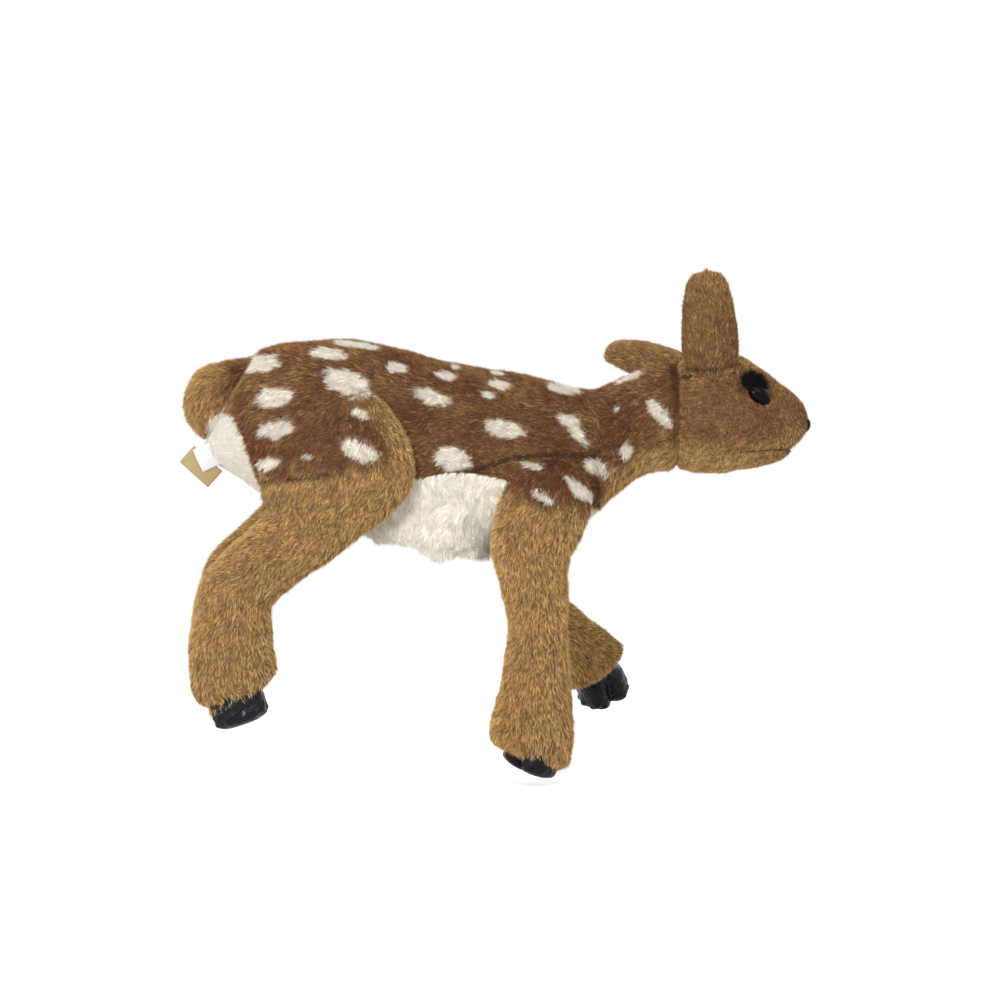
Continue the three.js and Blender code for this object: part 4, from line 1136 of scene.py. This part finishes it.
def ranged(tree, value, low, high, first=0.0, last=1.0):
    """A value that runs from low to high while another runs from first to last, and stops there."""
    node = tree.nodes.new("ShaderNodeMapRange")
    for socket, bound in zip(node.inputs[1:5], (first, last, low, high)):
        socket.default_value = bound
    tree.links.new(value, node.inputs[0])
    return node.outputs[0]


def roughen(tree, shader, height, strength, distance):
    """Gives a shader a bump of a height."""
    bump = tree.nodes.new("ShaderNodeBump")
    bump.inputs["Strength"].default_value = strength
    bump.inputs["Distance"].default_value = distance
    tree.links.new(height, bump.inputs["Height"])
    tree.links.new(bump.outputs["Normal"], shader.inputs["Normal"])


# Bounds of the brightness of pile, and how much of its variation is left on white pile
BRIGHTNESS = (0.15, 2.0)
WHITE_VARIES = 0.3


def plush(name, colours):
    """Pile fabric: tan, brown and pale fibres from a dark root to a light tip, varied fibre by fibre."""
    material, tree, shader = nodes_of(name)
    coat = tree.nodes.new("ShaderNodeAttribute")
    coat.attribute_name = "coat"
    shade = tree.nodes.new("ShaderNodeAttribute")
    shade.attribute_name = "shade"
    split = tree.nodes.new("ShaderNodeSeparateXYZ")
    tree.links.new(coat.outputs["Vector"], split.inputs[0])
    along = split.outputs[2]
    tan = mixed(tree, along, colours.tan_root, colours.tan_tip)
    brown = mixed(tree, along, colours.brown_root, colours.brown_tip)
    pale = mixed(tree, along, colours.pale_root, colours.pale_tip)
    colour = mixed(tree, split.outputs[1], mixed(tree, split.outputs[0], tan, brown), pale)
    lock = pattern(tree, "ShaderNodeTexNoise", 220, Detail=3)
    level = joined(tree, "ADD", shade.outputs["Fac"], lock.outputs["Fac"])
    strength = tree.nodes.new("ShaderNodeHueSaturation")
    tree.links.new(ranged(tree, split.outputs[1], 1.0, WHITE_VARIES), strength.inputs["Fac"])
    tree.links.new(ranged(tree, level, *BRIGHTNESS, *BRIGHTNESS), strength.inputs["Value"])
    tree.links.new(colour, strength.inputs["Color"])
    tree.links.new(strength.outputs["Color"], shader.inputs["Base Color"])
    shader.inputs["Roughness"].default_value = 0.7
    shader.inputs["Sheen Weight"].default_value = 0.06
    shader.inputs["Sheen Roughness"].default_value = 0.4
    shader.inputs["Specular IOR Level"].default_value = 0.25
    return material


def felt(name, colour):
    """Short matted felt: flecks of a lighter shade and a fine bump."""
    material, tree, shader = nodes_of(name)
    fleck = pattern(tree, "ShaderNodeTexNoise", 900, Detail=4)
    light = tuple(c * 1.5 + 0.001 for c in colour)
    tree.links.new(mixed(tree, fleck.outputs["Fac"], colour, light), shader.inputs["Base Color"])
    roughen(tree, shader, fleck.outputs["Fac"], strength=0.6, distance=0.0004)
    shader.inputs["Roughness"].default_value = 0.9
    shader.inputs["Specular IOR Level"].default_value = 0.1
    return material


def woven(name, colour, threads):
    """Plain woven tape or lining: crossing threads as two wave patterns in the shade and the bump."""
    material, tree, shader = nodes_of(name)
    waves = []
    for axis in ("X", "Z"):
        wave = pattern(tree, "ShaderNodeTexWave", threads, Distortion=0.6)
        wave.bands_direction = axis
        waves.append(wave.outputs["Fac"])
    cross = joined(tree, "MULTIPLY", *waves)
    dark = tuple(c * 0.72 for c in colour)
    tree.links.new(mixed(tree, cross, dark, colour), shader.inputs["Base Color"])
    roughen(tree, shader, cross, strength=0.5, distance=0.0002)
    shader.inputs["Roughness"].default_value = 0.55
    shader.inputs["Sheen Weight"].default_value = 0.2
    return material


def vinyl(name, colour):
    """Glossy black vinyl: fine leather grain and soft creases that break up the gloss."""
    material, tree, shader = nodes_of(name)
    grain = pattern(tree, "ShaderNodeTexVoronoi", 700)
    crease = pattern(tree, "ShaderNodeTexNoise", 160, Detail=5)
    light = tuple(c * 1.6 + 0.001 for c in colour)
    tree.links.new(mixed(tree, crease.outputs["Fac"], colour, light), shader.inputs["Base Color"])
    tree.links.new(ranged(tree, crease.outputs["Fac"], 0.1, 0.36), shader.inputs["Roughness"])
    height = joined(tree, "ADD", grain.outputs["Distance"], crease.outputs["Fac"])
    roughen(tree, shader, height, strength=0.5, distance=0.0006)
    shader.inputs["Specular IOR Level"].default_value = 0.2
    return material


def glass_eye(name, colour):
    """Polished black plastic with a faintly brown depth."""
    material, tree, shader = nodes_of(name)
    depth = pattern(tree, "ShaderNodeTexNoise", 120)
    brown = (colour[0] * 2, colour[1] * 1.3, colour[2])
    tree.links.new(mixed(tree, depth.outputs["Fac"], colour, brown), shader.inputs["Base Color"])
    shader.inputs["Roughness"].default_value = 0.03
    shader.inputs["Specular IOR Level"].default_value = 0.09
    return material


def moulded(name, colour):
    """Plain moulded plastic with a faint mottle."""
    material, tree, shader = nodes_of(name)
    mottle = pattern(tree, "ShaderNodeTexNoise", 300)
    dark = tuple(c * 0.92 for c in colour)
    tree.links.new(mixed(tree, mottle.outputs["Fac"], dark, colour), shader.inputs["Base Color"])
    shader.inputs["Roughness"].default_value = 0.45
    return material


FINISHES = {}


def finish(slot):
    """The material of a slot, made once."""
    if slot not in FINISHES:
        colours = bpy.context.scene.puppet_colours
        makers = {
            "spotted_plush": lambda: plush(slot, colours),
            "tan_plush": lambda: plush(slot, colours),
            "white_plush": lambda: plush(slot, colours),
            "dark_felt": lambda: felt(slot, colours.felt),
            "lining_cloth": lambda: woven(slot, colours.lining, 260),
            "gold_tape": lambda: woven(slot, colours.gold_tape, 420),
            "white_tape": lambda: woven(slot, colours.white_tape, 420),
            "hoof_vinyl": lambda: vinyl(slot, colours.vinyl),
            "eye_plastic": lambda: glass_eye(slot, colours.eye),
            "washer_plastic": lambda: moulded(slot, colours.washer),
        }
        FINISHES[slot] = makers[slot]()
    return FINISHES[slot]


def seat(obj, body, nodes=()):
    """Hides the parts a piece stands for and hangs it from its body; with two bodies it only lays it in
    place.
    """
    if nodes:
        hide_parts(*nodes)
    if isinstance(body, str):
        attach(obj, body)
    else:
        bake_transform(obj)
    return obj


# Two bodies and two points for the neck, and how far above and below its joint a leg's points lie
NECK_BLEND = ("torso", "neck", (102, 0, 72), (139, 0, 72))
LEG_BLEND = {"above": 24, "below": 22}


def flow_back(at, along, across):
    """Body pile lies towards the tail and a little down."""
    return -along + np.array([0, 0, -0.35])


def flow_down(at, along, across):
    """Limb pile lies along the limb towards its end."""
    return along


def flow_loose(at, along, across):
    """Belly pile hangs down in swirling locks."""
    swirl = stack(ripple(at, 16, 81), ripple(at, 16, 82), ripple(at, 16, 83))
    return swirl * 0.5 + np.array([-0.2, 0, -0.8])


def flow_lash(at, along, across):
    """Lash pile lies forward and up, with a little swirl."""
    return stack(0.5, 0, 0.8) + 0.6 * stack(ripple(at, 5, 84), 0, ripple(at, 5, 85))


# Pile that would be this deep in the body is left out
WELL_INSIDE = 5


def outside_body(p):
    """True where a point isn't well inside the body."""
    top, bottom, widest, half = run(OUTLINE, p[:, 0])
    reach = np.where(p[:, 2] > widest, top - widest, widest - bottom)
    across = p[:, 1] / np.maximum(half - WELL_INSIDE, 1)
    up = (p[:, 2] - widest) / np.maximum(reach - WELL_INSIDE, 1)
    return np.hypot(across, up) > 1


# Operators


# Width of the white fibres, and the share of their length on chest and rump
WHITE_WIDE = 0.58
SHORTER = 0.7


class PUPPET_OT_body(bpy.types.Operator):
    """Spotted back, white belly, chest and rump with their pile"""

    bl_idname = "puppet.body"
    bl_label = "Body"

    def execute(self, context):
        sizes = context.scene.puppet_sizes
        long = sizes.back_pile / METRES
        for number, (name, side) in enumerate((("right", -1), ("left", 1))):
            surface = back_surface(side)
            node = f"back_panel_{name}"
            nodes = [node, "rump_filling"] if side < 0 else [node]
            cover = cloth(node + "_cover", surface, 90, 48, finish("spotted_plush"), body_coat)
            seat(cover, NECK_BLEND, nodes)
            fur = pile(
                node + "_pile", surface, finish("spotted_plush"), body_coat, flow_back, long,
                seed=100 + number,
            )
            seat(fur, NECK_BLEND)
        white = sizes.white_pile / METRES
        panels = (
            ("belly_panel", belly_surface, white_coat, flow_loose, white, 22),
            ("chest_panel", chest_surface, white_coat, flow_back, white * SHORTER, 24),
            ("rump_panel", rump_surface, rump_coat, flow_back, white * SHORTER, 24),
        )
        for number, (node, surface, coat, flow, long, lean) in enumerate(panels):
            cover = cloth(node + "_cover", surface, 40, 96, finish("white_plush"), coat)
            seat(cover, "torso", [node])
            fur = pile(
                node + "_pile", surface, finish("white_plush"), coat, flow, long,
                wide=WHITE_WIDE, lean=lean, seed=110 + number,
            )
            seat(fur, "torso")
        return {"FINISHED"}


class PUPPET_OT_cuff(bpy.types.Operator):
    """Gathered cuff of the hand opening and the lining behind it"""

    bl_idname = "puppet.cuff"
    bl_label = "Cuff and lining"

    def execute(self, context):
        white = context.scene.puppet_sizes.white_pile / METRES
        cuff = skin("opening_cuff_cover", cuff_surface, 32, 181, finish("white_plush"), white_coat)
        seat(cuff, "torso", ["opening_cuff"])

        def outside(p):
            return np.hypot(p[:, 0] / (OPENING["long"] + 1), p[:, 1] / (OPENING["wide"] + 1)) > 1

        fur = pile(
            "opening_cuff_pile", cuff_surface, finish("white_plush"), white_coat, flow_loose, white,
            wide=WHITE_WIDE, lean=26, seed=120, keep=outside,
        )
        seat(fur, "torso")
        bag = cloth("hand_lining_bag", lining_surface, 40, 64, finish("lining_cloth"), tan_coat, LABEL_THICK)
        seat(bag, "torso", ["hand_lining"])
        return {"FINISHED"}


class PUPPET_OT_neck(bpy.types.Operator):
    """Neck sleeve with its pile"""

    bl_idname = "puppet.neck"
    bl_label = "Neck"

    def execute(self, context):
        long = context.scene.puppet_sizes.back_pile / METRES
        cover = cloth("neck_sleeve_cover", neck_surface, 48, 72, finish("spotted_plush"), body_coat)
        seat(cover, NECK_BLEND, ["neck_sleeve", "neck_lining"])
        fur = pile(
            "neck_sleeve_pile", neck_surface, finish("spotted_plush"), body_coat, flow_back, long * 0.9,
            seed=130, keep=lambda p: p[:, 0] < NAPE["x"] + 10,
        )
        seat(fur, NECK_BLEND)
        return {"FINISHED"}


class PUPPET_OT_head(bpy.types.Operator):
    """Head and jaw with their pile, and the felt plates of the mouth"""

    bl_idname = "puppet.head"
    bl_label = "Head and jaw"

    def execute(self, context):
        long = context.scene.puppet_sizes.head_pile / METRES
        cover = skin("head_cover", head_surface, 96, 96, finish("tan_plush"), head_coat)
        inside = ["head_half_right", "head_half_left", "head_filling", "finger_pocket"]
        seat(cover, "head", inside)

        def outside(p):
            eye = np.hypot(p[:, 0] - EYE["x"], p[:, 2] - EYE["z"]) > EYE["long"] - 1.5
            lip = p[:, 2] > mouth_height(p[:, 0]) + 0.3 + 1.5 * (p[:, 0] > JAW["front"])
            return eye & lip & (p[:, 0] > NAPE["x"] - 2.2)

        short = {"wide": 0.45, "density": 2.8, "stray": 0.4, "lock_size": TUFT}
        fur = pile(
            "head_pile", head_surface, finish("tan_plush"), head_coat, flow_back, long,
            lean=36, seed=140, keep=outside, **short,
        )
        seat(fur, "head")
        jaw = skin("jaw_skin", jaw_surface, 60, 72, finish("tan_plush"), tan_coat)
        seat(jaw, "jaw", ["jaw_cover"])

        def under(p):
            lip = p[:, 2] < JAW["z"] + (p[:, 0] - JAW["x"]) * JAW["slope"] - 0.3
            return lip & (p[:, 0] > JAW["rear"] + 5) & (p[:, 0] < JAW["front"] - 1)

        fur = pile(
            "jaw_pile", jaw_surface, finish("tan_plush"), tan_coat, flow_back, long,
            lean=34, seed=141, keep=under, **short,
        )
        seat(fur, "jaw")
        for node, body, above in (("mouth_roof", "head", 0.3), ("mouth_floor", "jaw", -0.3)):
            plate = skin(node + "_plate", plate_surface(above), 24, 97, finish("dark_felt"), tan_coat)
            seat(plate, body, [node])
        return {"FINISHED"}


class PUPPET_OT_face(bpy.types.Operator):
    """Eyes, the dark patches over them, and the nose"""

    bl_idname = "puppet.face"
    bl_label = "Face"

    def execute(self, context):
        for name, side in (("right", -1), ("left", 1)):
            here, out = on_head(EYE["x"], EYE["z"], side)
            dome = dome_surface(here, out, EYE["long"], EYE["tall"], EYE["bulge"], EYE["tilt"])
            eye = skin(f"eye_{name}_dome", dome, 32, 48, finish("eye_plastic"), tan_coat)
            seat(eye, "head", [f"eye_{name}"])
            here, out = on_head(LID["x"], LID["z"], side)
            dome = dome_surface(here, out, LID["long"], LID["tall"], LID["bulge"], LID["tilt"])
            lid = skin(f"eyelid_{name}_patch", dome, 20, 32, finish("dark_felt"), tan_coat)
            seat(lid, "head", [f"eyelid_{name}"])
            fur = pile(
                f"eyelid_{name}_pile", dome, finish("dark_felt"), tan_coat, flow_lash, LASH_PILE,
                wide=0.6, lean=38, density=3.0, seed=150,
            )
            seat(fur, "head")
            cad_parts[f"eye_washer_{name}"].data.materials.clear()
            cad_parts[f"eye_washer_{name}"].data.materials.append(finish("washer_plastic"))
        ahead = np.array([1.0, 0, 0])
        place = np.array([NOSE["x"], 0, NOSE["z"]])
        pad = dome_surface(place, ahead, NOSE["half"], NOSE["tall"], NOSE["deep"])
        nose = skin("nose_pad", pad, 24, 32, finish("dark_felt"), tan_coat)
        seat(nose, "head", ["nose"])
        fur = pile(
            "nose_pile", pad, finish("dark_felt"), tan_coat, flow_back, NOSE_PILE,
            lean=45, density=3.0, seed=151,
        )
        seat(fur, "head")
        return {"FINISHED"}


class PUPPET_OT_ears(bpy.types.Operator):
    """Ears with their linings"""

    bl_idname = "puppet.ears"
    bl_label = "Ears"

    def execute(self, context):
        long = context.scene.puppet_sizes.head_pile / METRES
        for number, name in enumerate(("right", "left")):
            body = f"ear_{name}"
            leaf = ear_surface(name, False)
            coat = ear_coat(EARS[name])
            cover = skin(f"ear_{name}_leaf", leaf, 48, 64, finish("tan_plush"), coat)
            seat(cover, body, [f"ear_{name}"])
            fur = pile(
                f"ear_{name}_pile", leaf, finish("tan_plush"), coat, flow_down, long,
                lean=26, density=2.6, seed=160 + number,
            )
            seat(fur, body)
            inside = ear_surface(name, True)
            cover = skin(f"ear_{name}_inside", inside, 40, 48, finish("white_plush"), white_coat)
            seat(cover, body, [f"ear_lining_{name}"])
            fur = pile(
                f"ear_{name}_inside_pile", inside, finish("white_plush"), white_coat, flow_down, long * 0.9,
                wide=0.6, lean=24, density=1.6, seed=162 + number,
            )
            seat(fur, body)
        return {"FINISHED"}


class PUPPET_OT_legs(bpy.types.Operator):
    """Four legs with their pile and hooves"""

    bl_idname = "puppet.legs"
    bl_label = "Legs and hooves"

    def execute(self, context):
        long = context.scene.puppet_sizes.leg_pile / METRES
        for number, (name, leg) in enumerate(LEGS.items()):
            hind = name.startswith("hind")
            surface = haunch(leg) if hind else leg.surface
            coat = hind_coat if hind else front_coat
            x, y, z = leg.joint
            bend = ("torso", name, (x, y, z + LEG_BLEND["above"]), (x, y, z - LEG_BLEND["below"]))
            cover = skin(f"{name}_cover", surface, 90, 64, finish("tan_plush"), coat)
            seat(cover, bend, [name, f"{name}_filling"])
            fur = pile(
                f"{name}_pile", surface, finish("tan_plush"), coat, flow_down, long,
                seed=170 + number, keep=outside_body,
            )
            seat(fur, bend)
            node = name.replace("leg", "hoof")
            hoof = skin(f"{node}_shoe", leg.hoof, 48, 96, finish("hoof_vinyl"), tan_coat)
            seat(hoof, name, [node])
        return {"FINISHED"}


class PUPPET_OT_tail(bpy.types.Operator):
    """Tail, tan over white"""

    bl_idname = "puppet.tail"
    bl_label = "Tail"

    def execute(self, context):
        long = context.scene.puppet_sizes.leg_pile / METRES
        cover = skin("tail_cover", tail_surface, 48, 48, finish("tan_plush"), tail_coat)
        seat(cover, "tail", ["tail_top", "tail_under"])
        fur = pile("tail_pile", tail_surface, finish("tan_plush"), tail_coat, flow_down, long, seed=180)
        seat(fur, "tail")
        return {"FINISHED"}


class PUPPET_OT_labels(bpy.types.Operator):
    """Two blank labels in the rump seam"""

    bl_idname = "puppet.labels"
    bl_label = "Labels"

    def execute(self, context):
        for node, label in LABELS.items():
            angle = math.radians(label["turn"])

            def surface(u, v, inset=0.0, label=label, angle=angle):
                """A strip of tape: u along it, v across it, bowed a little along its length."""
                along = (u - 0.5) * label["long"]
                across = (v - 0.5) * label["wide"]
                bow = LABEL_BOW * np.sin(u * math.pi) - inset + SKIN_DEPTH
                x = across * math.cos(angle) - along * math.sin(angle)
                z = across * math.sin(angle) + along * math.cos(angle)
                return np.array(label["at"]) + stack(x, -bow, z)

            tape = cloth(f"{node}_tape", surface, 24, 16, finish(label["slot"]), tan_coat, LABEL_THICK)
            seat(tape, "torso", [node])
        return {"FINISHED"}


class PUPPET_OT_stage(bpy.types.Operator):
    """Camera, lamps, pale floor and white surroundings"""

    bl_idname = "puppet.stage"
    bl_label = "Stage"

    def execute(self, context):
        scene = context.scene
        stage = scene.puppet_stage
        lens = bpy.data.cameras.new("camera")
        lens.sensor_width = 36.0
        lens.lens = lens.sensor_width * stage.distance / stage.view_width
        camera = bpy.data.objects.new("camera", lens)
        camera.location = (stage.aim_x, -stage.distance, stage.aim_z)
        camera.rotation_euler = (math.radians(90), 0, 0)
        scene.collection.objects.link(camera)
        scene.camera = camera
        # Name, place, size and power
        lamps = (
            ("key_lamp", (-0.6, -1.35, 0.3), 0.3, stage.key),
            ("fill_lamp", (0.5, -1.1, 1.2), 1.1, stage.fill),
            ("back_lamp", (0.2, 1.1, 0.9), 1.0, stage.back),
        )
        lit = np.array([0.03, 0.0, 0.03])
        for name, place, size, power in lamps:
            lamp = bpy.data.lights.new(name, "AREA")
            lamp.size = size
            lamp.energy = power
            obj = bpy.data.objects.new(name, lamp)
            obj.location = place
            way = lit - np.array(place)
            spread = math.hypot(way[0], way[1])
            obj.rotation_euler = (math.atan2(spread, -way[2]), 0, math.atan2(way[0], -way[1]) + math.pi)
            scene.collection.objects.link(obj)
        self.surroundings(scene, stage)
        self.floor()
        scene.view_settings.view_transform = "Standard"
        return {"FINISHED"}

    def surroundings(self, scene, stage):
        """A world that is white to the eye and to gloss, and a plain grey light to everything else."""
        world = bpy.data.worlds.new("surroundings")
        world.use_nodes = True
        tree = world.node_tree
        light = tree.nodes["Background"]
        light.inputs["Color"].default_value = (1, 1, 1, 1)
        path = tree.nodes.new("ShaderNodeLightPath")
        shine = joined(tree, "MAXIMUM", path.outputs["Is Glossy Ray"], path.outputs["Is Transmission Ray"])
        seen = joined(tree, "MAXIMUM", path.outputs["Is Camera Ray"], shine)
        tree.links.new(ranged(tree, seen, stage.ambient, 1.0), light.inputs["Strength"])
        scene.world = world

    def floor(self):
        """A wide pale floor under the lowest hoof, lifted to white for the eye, its soft shadow kept."""
        below = 1
        wide = 12000
        low = CAD_BOX[0][2] / METRES - below
        u, v = grid(5, 5)
        points = stack((u.ravel() - 0.5) * wide, (v.ravel() - 0.5) * wide, low)
        material, tree, shader = nodes_of("floor")
        shader.inputs["Base Color"].default_value = (0.9, 0.9, 0.9, 1)
        shader.inputs["Roughness"].default_value = 1.0
        path = tree.nodes.new("ShaderNodeLightPath")
        tree.links.new(path.outputs["Is Camera Ray"], shader.inputs["Emission Strength"])
        shader.inputs["Emission Color"].default_value = (0.53, 0.53, 0.53, 1)
        put("floor", points, quads(5, 5), material)


# Settings and panel


def a_length(name, text, default):
    """A setting that is a length in metres."""
    return bpy.props.FloatProperty(
        name=name, description=text, default=default, unit="LENGTH", min=0.0, precision=4
    )


def a_colour(name, text, default):
    """A setting that is a colour."""
    return bpy.props.FloatVectorProperty(
        name=name, description=text, default=default, subtype="COLOR", min=0, max=1
    )


def a_power(name, text, default):
    """A setting that is a lamp's power."""
    return bpy.props.FloatProperty(name=name, description=text, default=default, unit="POWER")


class PuppetSizes(bpy.types.PropertyGroup):
    """Lengths of the pile"""

    back_pile: a_length("Back pile", "Length of the spotted pile", 0.0040)
    leg_pile: a_length("Leg pile", "Length of the tan pile on legs and tail", 0.0040)
    head_pile: a_length("Head pile", "Length of the short pile on head and ears", 0.0028)
    white_pile: a_length("White pile", "Length of the long pile round the hand opening", 0.0048)


class PuppetColours(bpy.types.PropertyGroup):
    """Colours of the fabrics and trims"""

    tan_root: a_colour("Tan root", "Tan pile at the root", (0.10, 0.045, 0.014))
    tan_tip: a_colour("Tan tip", "Tan pile at the tip", (0.80, 0.495, 0.19))
    brown_root: a_colour("Brown root", "Brown pile at the root", (0.055, 0.020, 0.008))
    brown_tip: a_colour("Brown tip", "Brown pile at the tip", (0.275, 0.106, 0.039))
    pale_root: a_colour("Pale root", "White pile and spots at the root", (0.81, 0.76, 0.65))
    pale_tip: a_colour("Pale tip", "White pile and spots at the tip", (0.88, 0.845, 0.76))
    felt: a_colour("Felt", "Eye patches, nose and mouth", (0.006, 0.005, 0.006))
    lining: a_colour("Lining", "Cloth inside the hand opening", (0.20, 0.11, 0.05))
    gold_tape: a_colour("Gold tape", "Blank gold label", (0.44, 0.33, 0.12))
    white_tape: a_colour("White tape", "Blank white label", (0.85, 0.85, 0.85))
    vinyl: a_colour("Vinyl", "Hooves", (0.004, 0.0045, 0.0065))
    eye: a_colour("Eye", "Eyes", (0.0025, 0.002, 0.002))
    washer: a_colour("Washer", "Washers behind the eyes", (0.73, 0.73, 0.73))


class PuppetStage(bpy.types.PropertyGroup):
    """Camera and light"""

    distance: a_length("Distance", "From the camera to the middle plane", 1.5)
    view_width: a_length("View width", "Width of the view at the middle plane", 0.609)
    aim_x: a_length("Aim X", "Where the camera looks, along the puppet", 0.0414)
    aim_z: a_length("Aim Z", "Where the camera looks, up", 0.0292)
    key: a_power("Key", "Main lamp", 14.0)
    fill: a_power("Fill", "Lamp that opens the shade", 9.0)
    back: a_power("Back", "Lamp behind", 6.0)
    ambient: bpy.props.FloatProperty(
        name="Ambient", description="Light from all round", default=0.52, min=0.0
    )


OPERATORS = (
    PUPPET_OT_stage,
    PUPPET_OT_body,
    PUPPET_OT_cuff,
    PUPPET_OT_neck,
    PUPPET_OT_head,
    PUPPET_OT_face,
    PUPPET_OT_ears,
    PUPPET_OT_legs,
    PUPPET_OT_tail,
    PUPPET_OT_labels,
)


class PUPPET_PT_panel(bpy.types.Panel):
    """Steps and settings of the puppet"""

    bl_label = "Fawn hand puppet"
    bl_idname = "PUPPET_PT_panel"
    bl_space_type = "VIEW_3D"
    bl_region_type = "UI"
    bl_category = "Puppet"

    def draw(self, context):
        for group in (context.scene.puppet_sizes, context.scene.puppet_colours, context.scene.puppet_stage):
            for name in group.__annotations__:
                self.layout.prop(group, name)
        for operator in OPERATORS:
            self.layout.operator(operator.bl_idname)


GROUPS = {"puppet_sizes": PuppetSizes, "puppet_colours": PuppetColours, "puppet_stage": PuppetStage}


def register():
    for name, group in GROUPS.items():
        bpy.utils.register_class(group)
        setattr(bpy.types.Scene, name, bpy.props.PointerProperty(type=group))
    for item in (*OPERATORS, PUPPET_PT_panel):
        bpy.utils.register_class(item)


def unregister():
    for item in (PUPPET_PT_panel, *reversed(OPERATORS)):
        bpy.utils.unregister_class(item)
    for name, group in GROUPS.items():
        delattr(bpy.types.Scene, name)
        bpy.utils.unregister_class(group)


def main():
    register()
    for step in ("stage", "body", "cuff", "neck", "head", "face", "ears", "legs", "tail", "labels"):
        getattr(bpy.ops.puppet, step)()


if __name__ == "__main__":
    main()
